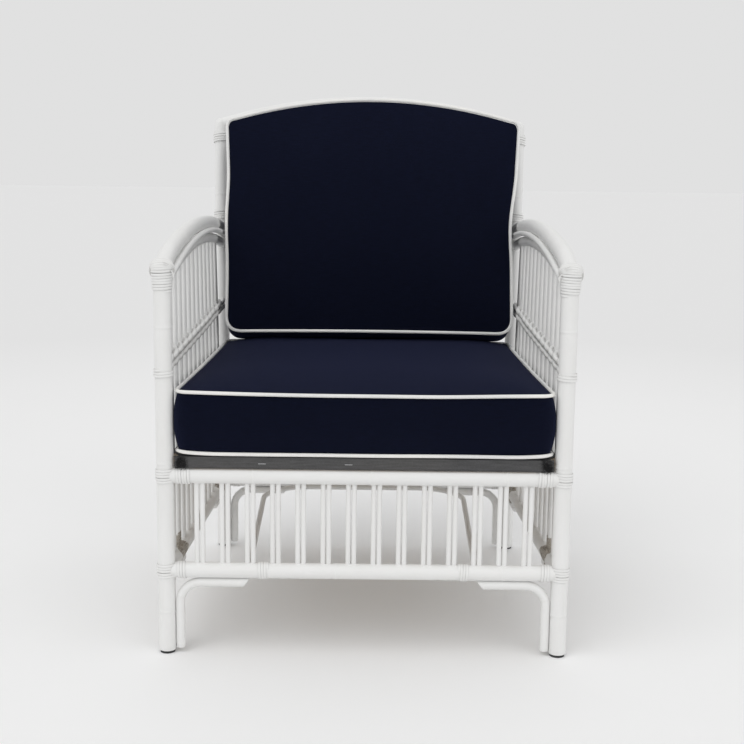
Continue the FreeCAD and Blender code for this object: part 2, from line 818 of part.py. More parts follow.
def make_lashings():
    """Every cane lashing, grouped by where it sits, and the least gap between turns."""
    groups = {}
    gaps = []

    def add(name, foot, axis, side, core, turns):
        shape, gap = lashing(foot, axis, side, core, turns)
        gaps.append(gap)
        groups.setdefault(name, []).extend([shape, mirrored(shape)])

    front = point(-front_half, 0, 0)
    back = point(-back_half, post_line_depth, 0)
    arm_turns = math.floor(4 * (arm_lashing_length - cane_diameter) / cane_pitch) / 4
    arm_foot = front_post_height - lashing_length(arm_turns) - cane_gap
    add("arm_front_lashings", front + UP * arm_foot, UP, -BACK, post_diameter, arm_turns)
    ring_foot = ring_lashing_height - lashing_length(ring_lashing_turns) / 2
    add("post_ring_lashings", front + UP * ring_foot, UP, -BACK, post_diameter, ring_lashing_turns)
    past_rail = UP * (rail_radius + cane_gap)
    posts = (("upper", upper_rail_height, front, 1), ("upper", upper_rail_height, front, -1),
             ("upper", upper_rail_height, back, -1), ("lower", lower_rail_height, front, 1),
             ("lower", lower_rail_height, front, -1), ("lower", lower_rail_height, back, 1),
             ("lower", lower_rail_height, back, -1))
    for name, height, foot, way in posts:
        add(name + "_post_lashings", foot + UP * height + past_rail * way, UP * way, -RIGHT,
            post_diameter, post_lashing_turns)
    for name, height, turns in (("upper", upper_rail_height, upper_rail_lashing_turns),
                                ("lower", lower_rail_height, lower_rail_lashing_turns)):
        for foot, direction in left_rail_ends():
            start = foot + UP * height + direction * (lashed_post_radius + cane_gap)
            add(name + "_rail_lashings", start, direction, -UP, rail_diameter, turns)
    shares = pair_shares(front_pairs, front_post_spacing, post_radius)
    between = (shares[stretcher_lashing_pair - 1] + shares[stretcher_lashing_pair]) / 2
    tie = front + RIGHT * (front_post_spacing * between) + UP * lower_rail_height
    add("stretcher_lashings", tie - RIGHT * (lashing_length(stretcher_lashing_turns) / 2), RIGHT, -UP,
        rail_diameter, stretcher_lashing_turns)
    head = back_post_point(back_post_height)
    down = (back_post_point(upper_rail_height) - head).normalize()
    add("back_top_lashings", head + down * (rail_radius + cane_gap), down, -RIGHT, post_diameter,
        back_top_lashing_turns)
    add("arm_back_lashings", arm_lashing_foot(), -down, -RIGHT, post_diameter, arm_back_lashing_turns)
    return {name: Part.makeCompound(shapes) for name, shapes in groups.items()}, gaps


def make_posts(pieces, holes):
    left_front = make_front_post()
    left_back = make_back_post()
    pieces["front_left_post"] = left_front.cut(holes)
    pieces["back_left_post"] = left_back.cut(holes)
    pieces["front_right_post"] = mirrored(left_front).cut(holes)
    pieces["back_right_post"] = mirrored(left_back).cut(holes)


def make_rails(pieces, posts, holes):
    """Upper and lower rails, coped to the posts, the side rails to the others too."""
    whole = {}
    for name, height in (("upper", upper_rail_height), ("lower", lower_rail_height)):
        level = UP * height
        front = make_rail(point(-front_half, 0, 0) + level, point(front_half, 0, 0) + level, posts)
        back = make_rail(point(-back_half, post_line_depth, 0) + level,
                         point(back_half, post_line_depth, 0) + level, posts)
        left = make_rail(side_line_point(0, height), side_line_point(1, height), posts + [front, back])
        for place, rail in (("front", front), ("back", back), ("left", left), ("right", mirrored(left))):
            whole[place + "_" + name + "_rail"] = rail
            pieces[place + "_" + name + "_rail"] = rail.cut(holes)
    arch = swept([top_rail_arc()], rail_diameter).cut(posts)
    whole["back_top_rail"] = arch
    pieces["back_top_rail"] = arch
    return whole


def make_dowels():
    """Dowels in every rail end, at both rail heights."""
    dowels = []
    for height in (upper_rail_height, lower_rail_height):
        for foot, direction in left_rail_ends():
            axis = foot + UP * height
            dowel = make_dowel(axis, axis + direction, post_radius)
            dowels += [dowel, mirrored(dowel)]
    return Part.makeCompound(dowels)


def make_arms(pieces):
    """Both arms: the thick pole, the under pole and the filler pole inside the corner.

    Their ends are coped with a little room round the back post and the wrapped front post.
    """
    room_diameter = post_diameter + 2 * coped_end_clearance
    back_room = rod(back_post_point(upper_rail_height), back_post_point(back_post_height), room_diameter)
    front_room = rod(point(-front_half, 0, glide_height), point(-front_half, 0, front_post_height), room_diameter)
    wrap_foot = point(-front_half, 0, front_post_height - arm_lashing_length - cane_gap)
    wrap_radius = lashed_post_radius + coped_end_clearance
    wrap = Part.makeCylinder(wrap_radius, front_post_height - wrap_foot.z, wrap_foot)
    under_arc = arm_arc(under_pole_front_height, under_pole_crest_height, under_pole_back_height, 0)
    inset, drop = filler_place()
    over_under = arm_crest_height - drop - under_pole_crest_height
    filler_arc = arm_arc(under_pole_front_height + over_under + filler_front_lift, arm_crest_height - drop,
                         arm_back_height - drop - filler_back_dip, inset)
    poles = {"arm_pole": make_arm_pole(),
             "arm_under_pole": swept([under_arc], under_pole_diameter),
             "arm_filler_pole": swept([filler_arc], filler_pole_diameter)}
    for name, pole in poles.items():
        pole = pole.cut([wrap, front_room, back_room])
        pieces["left_" + name] = pole
        pieces["right_" + name] = mirrored(pole)
    return under_arc


def make_spindles(pieces, rails, under_arc, posts):
    """All the paired spindles, cut to the rails and poles that they stand between."""
    rail_cuts = list(rails.values())
    front = make_straight_spindles(point(-front_half, 0, 0), point(front_half, 0, 0),
                                   lower_rail_height, upper_rail_height, front_pairs)
    back = make_straight_spindles(point(-back_half, post_line_depth, 0), point(back_half, post_line_depth, 0),
                                  lower_rail_height, upper_rail_height, back_pairs)
    side = make_straight_spindles(side_line_point(0, 0), side_line_point(1, 0),
                                  lower_rail_height, upper_rail_height, side_pairs)
    pieces["front_apron_spindles"] = front.cut([rails["front_upper_rail"], rails["front_lower_rail"]])
    pieces["back_apron_spindles"] = back.cut([rails["back_upper_rail"], rails["back_lower_rail"]])
    side = side.cut([rails["left_upper_rail"], rails["left_lower_rail"]])
    pieces["left_apron_spindles"] = side
    pieces["right_apron_spindles"] = mirrored(side)
    arm = make_arm_spindles(under_arc).cut([rails["left_upper_rail"], pieces["left_arm_under_pole"]])
    pieces["left_arm_spindles"] = arm
    pieces["right_arm_spindles"] = mirrored(arm)
    pieces["back_spindles"] = make_back_spindles().cut([rails["back_upper_rail"], rails["back_top_rail"]])
    band = make_band(under_arc, posts)
    pieces["left_arm_band"] = band
    pieces["right_arm_band"] = mirrored(band)


def make_brackets(pieces, nails):
    """A bent bracket beside each post under each lower rail, grouped by the chair's sides."""
    brackets = [make_bracket(foot, direction).cut(nails) for foot, direction in left_rail_ends()]
    front, back, side_front, side_back = brackets
    pieces["front_brackets"] = Part.makeCompound([front, mirrored(front)])
    pieces["back_brackets"] = Part.makeCompound([back, mirrored(back)])
    pieces["left_brackets"] = Part.makeCompound([side_front, side_back])
    pieces["right_brackets"] = mirrored(pieces["left_brackets"])


def make_seat_deck(pieces):
    """The screwed seat panel with its stapled cloth."""
    screws = make_panel_screws()
    staples = make_staples()
    pieces["seat_panel"] = make_panel().cut([screws, staples])
    pieces["seat_panel_cloth"] = make_panel_cloth().cut(staples)
    pieces["seat_panel_screws"] = screws
    pieces["cloth_staples"] = staples
    pieces["front_upper_rail"] = pieces["front_upper_rail"].cut(screws)


def make_cushions(pieces):
    """Both cushions, each a foam filling in a cloth cover with two rows of piping."""
    seat_form = make_seat_form(0)
    filling = make_seat_form(cloth_thickness)
    pieces["seat_cushion_foam"] = filling
    pieces["seat_cushion_cover"] = seat_form.cut(filling)
    pieces["seat_cushion_top_piping"] = seat_piping(seat_high_seam)
    pieces["seat_cushion_low_piping"] = seat_piping(seat_low_seam)
    bottom = settle_back_cushion(seat_form)
    filling = make_back_form(bottom, cloth_thickness)
    rear, front = back_seams()
    pieces["back_cushion_foam"] = filling
    pieces["back_cushion_cover"] = make_back_form(bottom, 0).cut(filling)
    pieces["back_cushion_front_piping"] = back_piping(bottom, front)
    pieces["back_cushion_rear_piping"] = back_piping(bottom, rear)
    return bottom


def footprint_middle():
    """Half way from the front lashings to the back of the arched top rail."""
    crest = back_post_point(back_post_height + top_rail_rise)
    return (crest.y + rail_radius - lashed_post_radius) / 2


def main():
    os.makedirs("parts", exist_ok=True)
    pieces = {}
    dowels = make_dowels()
    glides = Part.makeCompound([make_glide(x, y) for x, y in post_feet()])
    nails = make_nails()
    make_posts(pieces, [dowels, glides, nails])
    posts = [make_front_post(), mirrored(make_front_post()), make_back_post(), mirrored(make_back_post())]
    rails = make_rails(pieces, posts, [dowels, nails])
    pieces["rail_dowels"] = dowels
    pieces["foot_glides"] = glides
    pieces["bracket_nails"] = nails
    under_arc = make_arms(pieces)
    make_spindles(pieces, rails, under_arc, posts)
    make_brackets(pieces, nails)
    pieces["seat_stretcher"] = make_stretcher()
    make_seat_deck(pieces)
    lashings, gaps = make_lashings()
    pieces.update(lashings)
    bottom = make_cushions(pieces)
    shift = point(0, -footprint_middle(), 0)
    for name, shape in pieces.items():
        shape.translate(shift)
        shape.exportStep("parts/" + name + ".step")
    print("least gap between a lashing's turns:", round(min(gaps), 3))
    print("footprint shift:", round(shift.y, 3))
    print("back cushion stands", round(bottom, 2), "up the raked plane")
    print("pieces:", len(pieces), "solids:", sum(len(shape.Solids) for shape in pieces.values()))


main()
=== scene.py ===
"""Looks of a white-painted rattan armchair with cane lashings and two loose boxed cushions.

Inside the maker functions every measure is in millimetres on the chair's own plan: x across,
y back from the line between the front posts, z up from the floor. to_frame() turns such
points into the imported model's metres.
"""

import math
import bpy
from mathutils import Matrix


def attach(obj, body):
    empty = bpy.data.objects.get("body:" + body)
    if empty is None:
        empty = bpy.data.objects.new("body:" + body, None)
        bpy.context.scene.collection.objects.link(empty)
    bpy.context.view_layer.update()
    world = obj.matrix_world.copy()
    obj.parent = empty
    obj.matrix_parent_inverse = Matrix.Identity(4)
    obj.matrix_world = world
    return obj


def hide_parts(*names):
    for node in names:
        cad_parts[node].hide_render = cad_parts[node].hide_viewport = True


bl_info = {
    "name": "Rattan armchair",
    "version": (1, 0, 0),
    "blender": (4, 5, 0),
    "location": "3D Viewport > Sidebar > Armchair",
    "description": "Makes a painted rattan armchair with cane lashings and boxed cushions",
    "category": "Object",
}

import bpy
import numpy as np
from mathutils import Matrix

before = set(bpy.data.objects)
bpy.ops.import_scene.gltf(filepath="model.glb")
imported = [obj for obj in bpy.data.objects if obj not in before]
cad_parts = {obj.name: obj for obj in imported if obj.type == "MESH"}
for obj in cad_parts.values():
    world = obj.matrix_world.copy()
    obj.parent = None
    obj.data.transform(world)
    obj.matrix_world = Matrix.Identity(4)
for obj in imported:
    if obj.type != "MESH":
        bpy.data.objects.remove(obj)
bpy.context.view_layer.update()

MM = 0.001
PLAN_TO_FRAME = np.array([0.0, -341.942, 0.0])

# Posts and rails
POST_RADIUS = 14.0
RAIL_RADIUS = 13.0
FRONT_HALF = 320.0
BACK_HALF = 295.0
POST_DEPTH = 586.0
GLIDE_TOP = 5.0
FRONT_POST_TOP = 631.0
BACK_POST_TOP = 867.0
LOWER_RAIL = 140.0
UPPER_RAIL = 298.0
TOP_RAIL_RISE = 47.0
RAKE = math.radians(9.5)
SPLAY = math.radians(1.0)
BACK_BEND = 220.0

# Arms
ARM_BACK = 654.0
ARM_CREST = 680.0
ARM_NOSE = 70.0
ARM_NOSE_RISE = 22.0
UNDER_POLE = (9.5, 600.5, 651.5, 625.5, 0.0)
FILLER_POLE = (5.0, 619.5, 667.3, 636.8, 15.0)
SPINDLE_RADIUS = 4.0
SIDE_PAIRS = 12

# Under the seat
BRACKET_RADIUS = 7.5
BRACKET_REACH = 134.5
BRACKET_BEND = 34.0
BRACKET_FOOT = 9.0
STRETCHER_RADIUS = 5.0
STRETCHER_LEVEL = 130.0
PANEL_TOP = 330.7

# Middles of the worn places on the right, in the frame's metres, and between which distances they fade
WORN_SPOTS = ((0.300, -0.247, 0.150), (0.290, 0.158, 0.145))
WORN_RADII = (0.012, 0.045)

# Cane
TUCK_TURNS = 0.14
NOSE_LASHING_FOOT = 592.4
POST_RING = 463
STRETCHER_TIE = 163.2
ARM_BACK_LASHING = ARM_BACK + 20.2
BAND_LEVEL = 478.5
BAND_CLIMB = 32
BAND_ROWS = (5.7, -5.7)
BAND_WEAVE = 0.64

# Deck cloth
DECK_FRONT = -9.0
DECK_BACK = 579.5
DECK_HALF = 312.6
DECK_DROP = 18.8
DECK_CORNER = 20.0
DECK_WIDE_UV = 300

# Cushions
FILLING_SHARE = np.array([0.97, 0.965, 0.90])
SWELL_CAP = 5.0
SWELL_STEPS = 20
CORD_OUT = 3.0
SEAT_BULGE = 9.0
BACK_BULGE = 3.0
BACK_LOWER_BULGE = 15.0
SEAT_FRONT = -8.0
SEAT_BACK = 562.4
SEAT_SEAMS = (335.5, 436.0)
BACK_SEAMS = (10.3, 130.3)
BACK_BOTTOM = 151.94
BACK_CORNER_HEIGHT = 553.3
SEAT_SIZE = (580.0, 570.4, 100.5)
SEAT_ROUNDING = (110.0, 150.0, 60.0)
BACK_SIZE = (560.0, 430.0, 120.0)
BACK_ROUNDING = (140.0, 140.0, 140.0)

UP = np.array([0.0, 0.0, 1.0])
RIGHT = np.array([1.0, 0.0, 0.0])
BACK = np.array([0.0, 1.0, 0.0])


def colour_setting(label, about, *default):
    return bpy.props.FloatVectorProperty(name=label, description=about, subtype="COLOR", size=3,
                                         min=0, max=1, default=default)


def length_setting(label, about, default, low, high):
    return bpy.props.FloatProperty(name=label, description=about, unit="LENGTH", min=low, max=high,
                                   default=default)


class PoleSettings(bpy.types.PropertyGroup):
    paint: colour_setting("Paint", "Colour of the paint on every pole", 0.83, 0.83, 0.822)
    bare_cane: colour_setting("Bare cane", "Colour where the paint has chipped off", 0.42, 0.30, 0.17)
    node_spacing: length_setting("Node spacing", "Usual distance between a pole's growth nodes",
                                 0.24, 0.05, 1)
    node_height: length_setting("Node height", "How far a growth node stands out of a pole",
                                0.0005, 0, 0.002)


class CaneSettings(bpy.types.PropertyGroup):
    width: length_setting("Cane width", "Width of the flat cane in the lashings", 0.0044, 0.002, 0.008)
    thickness: length_setting("Cane thickness", "Thickness of that cane", 0.0030, 0.001, 0.0042)
    strand: length_setting("Strand", "Diameter of a strand in the twined bands", 0.0078, 0.003, 0.008)


class CushionSettings(bpy.types.PropertyGroup):
    cloth: colour_setting("Cloth", "Colour of the cushions' canvas", 0.0028, 0.0041, 0.0126)
    piping: colour_setting("Piping", "Colour of the piping's cotton", 0.84, 0.84, 0.83)
    piping_diameter: length_setting("Piping diameter", "Thickness of the piping in its cloth",
                                    0.006, 0.003, 0.009)
    seat_crown: length_setting("Seat crown", "Height of the seat cushion's middle over its seam",
                               0.014, 0, 0.02)
    back_crown: length_setting("Back crown", "How far the back cushion's middle stands out",
                               0.011, 0, 0.02)
    thread_pitch: length_setting("Thread pitch", "Distance between threads of the canvas",
                                 0.0010, 0.0004, 0.003)


class StageSettings(bpy.types.PropertyGroup):
    floor: colour_setting("Floor", "Colour of the pale floor", 0.925, 0.925, 0.925)
    backdrop: colour_setting("Backdrop", "Colour of the light all round the chair", 0.752, 0.752, 0.752)
    camera_place: bpy.props.FloatVectorProperty(
        name="Camera place", description="Where the camera stands",
        subtype="TRANSLATION", unit="LENGTH", size=3, default=(0.01057, -2.33294, 0.8062))
    camera_pitch: bpy.props.FloatProperty(
        name="Camera pitch", description="How far the camera looks down", subtype="ANGLE", default=0.1676)
    camera_roll: bpy.props.FloatProperty(
        name="Camera roll", description="How far the camera leans", subtype="ANGLE", default=0.0114)
    lens: bpy.props.FloatProperty(
        name="Lens", description="Focal length in millimetres on a 36 mm sensor", min=10, default=61.645)


def to_frame(points):
    """Millimetres on the chair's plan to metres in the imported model's frame."""
    return (np.asarray(points, float) + PLAN_TO_FRAME) * MM


def unit(vectors):
    return vectors / np.linalg.norm(vectors, axis=-1, keepdims=True)


def xyz(x, y, z):
    return np.array([float(x), float(y), float(z)])


def lengths_along(path):
    """Distance along a path to each of its points."""
    return np.concatenate([[0.0], np.cumsum(np.linalg.norm(np.diff(path, axis=0), axis=1))])


def sample(path, places):
    """Points at distances along a path, with straight runs between its own points."""
    along = lengths_along(path)
    return np.stack([np.interp(places, along, path[:, axis]) for axis in range(3)], axis=1)


def straight(start, end, step=2.0):
    """Evenly spaced points from start to end: start + (end - start) * t."""
    count = max(2, int(np.linalg.norm(end - start) / step) + 1)
    return start + (end - start) * np.linspace(0, 1, count)[:, None]


def circle_through(start, middle, end):
    """Centre and radius of the circle through three points, from its perpendicular bisectors."""
    a, b = middle - start, end - start
    cross = np.cross(a, b)
    lift = np.dot(b, b) * np.cross(cross, a) - np.dot(a, a) * np.cross(cross, b)
    centre = start + lift / (2 * np.dot(cross, cross))
    return centre, np.linalg.norm(centre - start)


def arc_through(start, middle, end, step=2.0):
    """Points of the arc through three points: centre + r (cos t e1 + sin t e2)."""
    centre, radius = circle_through(start, middle, end)
    first = unit(start - centre)
    normal = unit(np.cross(start - centre, middle - centre))
    second = np.cross(normal, first)
    turn = math.atan2(np.dot(end - centre, second), np.dot(end - centre, first)) % (2 * math.pi)
    angle = np.linspace(0, turn, max(3, int(turn * radius / step) + 1))[:, None]
    return centre + radius * (np.cos(angle) * first + np.sin(angle) * second)


def bent(points, radius, step=2.0):
    """Straight runs through the points, with each corner rounded by a tangent arc."""
    runs = []
    here = points[0]
    for before, corner, after in zip(points, points[1:], points[2:]):
        arriving, leaving = unit(corner - before), unit(after - corner)
        half = math.acos(np.clip(np.dot(arriving, leaving), -1, 1)) / 2
        cut = radius * math.tan(half)
        middle = corner + unit(leaving - arriving) * radius * (1 / math.cos(half) - 1)
        runs.append(straight(here, corner - arriving * cut, step))
        here = corner + leaving * cut
        runs.append(arc_through(corner - arriving * cut, middle, here, step)[1:])
    runs.append(straight(here, points[-1], step)[1:])
    return np.concatenate(runs)


class Part:
    """Points, four-sided faces with a UV pair at each corner, and caps of many sides."""

    def __init__(self, points, quads, uvs, caps=()):
        self.points, self.quads, self.uvs, self.caps = points, quads, uvs, list(caps)


def joined(parts):
    """Several parts in one list of points."""
    starts = np.cumsum([0] + [len(part.points) for part in parts[:-1]])
    return Part(np.concatenate([part.points for part in parts]),
                np.concatenate([part.quads + start for part, start in zip(parts, starts)]),
                np.concatenate([part.uvs for part in parts]),
                [cap + start for part, start in zip(parts, starts) for cap in part.caps])


def mirrored(part):
    """The part on the chair's other side, its faces turned round to point outwards again."""
    points = part.points * np.array([-1.0, 1.0, 1.0])
    return Part(points, part.quads[:, ::-1], part.uvs[:, ::-1], [cap[::-1] for cap in part.caps])


def both_sides(part):
    return joined([part, mirrored(part)])


def grid_faces(rows, columns, wrap_rows=False, wrap_columns=False):
    """Corner indices of the faces of a grid of rows by columns, in order round each face."""
    i = np.arange(rows if wrap_rows else rows - 1)
    j = np.arange(columns if wrap_columns else columns - 1)
    i, j = (a.ravel() for a in np.meshgrid(i, j, indexing="ij"))
    after_i, after_j = (i + 1) % rows, (j + 1) % columns
    faces = np.stack([i * columns + j, i * columns + after_j,
                      after_i * columns + after_j, after_i * columns + j], axis=1)
    return faces, i, j


def corner_uvs(first, second, i, j):
    """The UV pairs at the four corners of the faces i, j of a grid, in metres."""
    return np.stack([np.stack([first[j + a], second[i + b]], axis=1)
                     for a, b in ((0, 0), (1, 0), (1, 1), (0, 1))], axis=1) * MM


def swept(path, lean, profile, spread=None, closed=False, capped=True, flat=False):
    """A profile carried along a path.

    Point (i, j) is path[i] + spread[i] * (profile[j, 0] * side[i] + profile[j, 1] * out[i]),
    where side[i] is lean[i] less its part along the path, and out[i] = along[i] x side[i].
    A spread of two columns scales the profile's two directions apart. The first UV
    coordinate runs round the profile, or across it where the profile is a flat strap's.
    """
    if closed:
        along = unit(np.roll(path, -1, axis=0) - np.roll(path, 1, axis=0))
    else:
        along = unit(np.gradient(path, axis=0))
    lean = np.broadcast_to(lean, path.shape)
    side = unit(lean - along * np.sum(lean * along, axis=1, keepdims=True))
    out = np.cross(along, side)
    spread = np.ones(len(path)) if spread is None else spread
    spread = np.broadcast_to(spread.reshape(len(path), -1), (len(path), 2))
    across = (spread[:, :1] * profile[None, :, 0])[..., None] * side[:, None]
    points = path[:, None] + across + (spread[:, 1:] * profile[None, :, 1])[..., None] * out[:, None]
    rows, columns = len(path), len(profile)
    faces, i, j = grid_faces(rows, columns, closed, True)
    around = lengths_along(np.append(profile, profile[:1], axis=0))
    around = np.append(profile[:, 1], profile[0, 1]) if flat else around
    down = lengths_along(np.append(path, path[:1], axis=0)) if closed else lengths_along(path)
    uvs = corner_uvs(around, down, i, j)
    caps = []
    if capped and not closed:
        caps = [np.arange(columns)[::-1], np.arange(columns) + (rows - 1) * columns]
    return Part(points.reshape(-1, 3), faces, uvs, caps)


def ring(radius, sides):
    """A circle: (r cos t, r sin t)."""
    angle = np.arange(sides) * 2 * math.pi / sides
    return radius * np.stack([np.cos(angle), np.sin(angle)], axis=1)


def strap_ring(thickness, width, corners=14):
    """A flat strap's section, a superellipse: half sizes times sign * |cos|^0.55 and |sin|^0.55."""
    angle = (np.arange(corners) + 0.5) * 2 * math.pi / corners
    c, s = np.cos(angle), np.sin(angle)
    return 0.5 * np.stack([thickness * np.sign(c) * np.abs(c) ** 0.55,
                           width * np.sign(s) * np.abs(s) ** 0.55], axis=1)


def pole(path, radius, lean, seed, ends=("cut", "cut"), sides=26):
    """A rattan pole: a tube along a path that swells a little at its growth nodes.

    The radius at distance s is r times 1 plus 0.0021 (sin(s / 61 + a) + sin(s / 23 + b)), and
    at each node s0 a ridge h exp(-((s - s0) / 1.6)^2) over a hollow h exp(-((s - s0 + 5) / 5)^2) / 2.
    """
    settings = bpy.context.scene.armchair_poles
    spacing, height = settings.node_spacing / MM, settings.node_height / MM
    draws = np.random.default_rng(seed)
    total = lengths_along(path)[-1]
    count = int(total / spacing) + 1
    nodes = (np.arange(count) + draws.uniform(0.25, 0.75, count)) * total / count
    close = (nodes[:, None] + np.array([-14, -9, -5, -3, -1.6, -0.8, 0, 0.8, 1.6, 3, 5])).ravel()
    even = np.linspace(0, total, max(3, int(total / 9) + 1))
    places = np.unique(np.round(np.clip(np.concatenate([even, close]), 0, total), 2))
    closest = 0.35
    places = places[np.concatenate([[True], np.diff(places) > closest])]
    places[-1] = total
    line = sample(path, places)
    from_node = places[:, None] - nodes
    ridge = np.exp(-(from_node / 1.6) ** 2) - 0.5 * np.exp(-((from_node + 5) / 5) ** 2)
    phase = draws.uniform(0, 6.28, 2)
    swell = 0.006 * 0.35 * (np.sin(places / 61 + phase[0]) + np.sin(places / 23 + phase[1]))
    spread = 1 + swell + height / radius * ridge.sum(axis=1)
    line, spread = with_end(line, spread, radius, ends[1])
    line, spread = with_end(line[::-1], spread[::-1], radius, ends[0])
    return swept(line[::-1], lean, ring(radius, sides), spread[::-1])


def with_end(line, spread, radius, kind):
    """Finishes a pole's last end: a sawn edge broken by 1 mm, or a half ball.

    A half ball's rings stand r sin t past the end and are cos t as wide.
    """
    along = unit(line[-1] - line[-2])
    if kind == "round":
        turn = np.linspace(0, math.pi / 2, 9)[1:-1]
        past, shrink = radius * np.sin(turn), np.cos(turn)
    else:
        past, shrink = np.array([0.35, 0.8]), np.array([0.985, 0.93])
    line = np.concatenate([line, line[-1] + along * past[:, None]])
    return line, np.concatenate([spread, spread[-1] * shrink])


def add_object(name, data):
    """A new object of the scene, at the origin."""
    made = bpy.data.objects.new(name, data)
    bpy.context.scene.collection.objects.link(made)
    return made


def piece(name, part, material, nodes=(), body="frame", smooth_angle=50):
    """Puts a part into a mesh object at the origin, hands it to a body, the frame unless another is named,
    and hides the CAD nodes it stands for.
    """
    mesh = bpy.data.meshes.new(name)
    faces = part.quads.tolist() + [cap.tolist() for cap in part.caps]
    mesh.from_pydata(to_frame(part.points).tolist(), [], faces)
    layer = mesh.uv_layers.new(name="UVMap")
    flat = np.zeros((len(mesh.loops), 2))
    flat[:len(part.quads) * 4] = part.uvs.reshape(-1, 2)
    start = len(part.quads) * 4
    for cap in part.caps:
        flat[start:start + len(cap)] = part.points[cap][:, :2] * MM
        start += len(cap)
    layer.data.foreach_set("uv", flat.astype(np.float32).ravel())
    mesh.shade_smooth()
    mesh.set_sharp_from_angle(angle=math.radians(smooth_angle))
    mesh.materials.append(material)
    made = add_object(name, mesh)
    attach(made, body)
    if nodes:
        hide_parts(*nodes)
    return made


def left_and_right(name, node, part, material):
    """The left side's part and its mirror image as two pieces; %s in a name stands for the side."""
    for side, shape in (("left", part), ("right", mirrored(part))):
        piece(name % side, shape, material, [node % side])


def back_post_point(height):
    """Centre of the left back post's raked part at a height."""
    rise = height - UPPER_RAIL
    return xyz(-BACK_HALF - rise * math.tan(SPLAY), POST_DEPTH + rise * math.tan(RAKE), height)


def side_point(share, height):
    """A point over the left side rail, from the front post at 0 to the back post at 1."""
    return xyz(-FRONT_HALF + (FRONT_HALF - BACK_HALF) * share, POST_DEPTH * share, height)


def arm_point(share, height, inset=0.0):
    """A point in the left arm's upright plane, moved inward by inset."""
    post = back_post_point(ARM_BACK)
    along = xyz(post[0] + FRONT_HALF, post[1], 0)
    inward = unit(xyz(along[1], -along[0], 0))
    return xyz(-FRONT_HALF, 0, height) + along * share + inward * inset


def rail_ends():
    """Where each rail meets a left post: the post's place and the rail's direction."""
    front, back = xyz(-FRONT_HALF, 0, 0), xyz(-BACK_HALF, POST_DEPTH, 0)
    side = unit(back - front)
    return [(front, RIGHT), (back, RIGHT), (front, side), (back, -side)]


def back_plane(points):
    """Across, up and forward of the raked back to the chair's plan."""
    across, up, forward = np.moveaxis(np.asarray(points, float), -1, 0)
    y = POST_DEPTH + up * math.sin(RAKE) - forward * math.cos(RAKE)
    z = UPPER_RAIL + up * math.cos(RAKE) + forward * math.sin(RAKE)
    return np.stack([across, y, z], axis=-1)


def node_group(name, inputs, outputs):
    """An empty shader node group with its sockets, and the nodes at its two ends."""
    group = bpy.data.node_groups.new(name, "ShaderNodeTree")
    for label, kind, default in inputs:
        socket = group.interface.new_socket(label, in_out="INPUT", socket_type=kind)
        if default is not None:
            socket.default_value = default
    for label, kind in outputs:
        group.interface.new_socket(label, in_out="OUTPUT", socket_type=kind)
    return group, group.nodes.new("NodeGroupInput"), group.nodes.new("NodeGroupOutput")


class Wiring:
    """Short ways to add nodes to one tree; a value is a number, a tuple or a socket."""

    def __init__(self, tree):
        self.tree = tree

    def put(self, socket, value):
        if isinstance(value, bpy.types.NodeSocket):
            self.tree.links.new(value, socket)
        else:
            socket.default_value = value

    def add(self, kind, settings=None, **values):
        made = self.tree.nodes.new(kind)
        for key, value in (settings or {}).items():
            setattr(made, key, value)
        for key, value in values.items():
            self.put(made.inputs[key.replace("_", " ")], value)
        return made

    def math(self, operation, first, second=0.0):
        made = self.add("ShaderNodeMath", {"operation": operation})
        self.put(made.inputs[0], first)
        self.put(made.inputs[1], second)
        return made.outputs[0]

    def coordinates(self, kind="Object"):
        return self.add("ShaderNodeTexCoord").outputs[kind]

    def separate(self, vector, axis):
        return self.add("ShaderNodeSeparateXYZ", Vector=vector).outputs[axis]

    def stretch(self, vector, scale, turn=(0.0, 0.0, 0.0)):
        return self.add("ShaderNodeMapping", Vector=vector, Scale=scale, Rotation=turn).outputs[0]

    def noise(self, vector, scale, detail=2.0, roughness=0.5):
        return self.add("ShaderNodeTexNoise", Vector=vector, Scale=scale, Detail=detail,
                        Roughness=roughness).outputs["Fac"]

    def ramp(self, value, low, high, start=0.0, end=1.0):
        return self.add("ShaderNodeMapRange", {"clamp": True}, Value=value, From_Min=low, From_Max=high,
                        To_Min=start, To_Max=end).outputs[0]

    def mix(self, share, first, second, blend="MIX"):
        made = self.add("ShaderNodeMix", {"data_type": "RGBA", "blend_type": blend})
        self.put(made.inputs[0], share)
        self.put(made.inputs[6], first)
        self.put(made.inputs[7], second)
        return made.outputs[2]


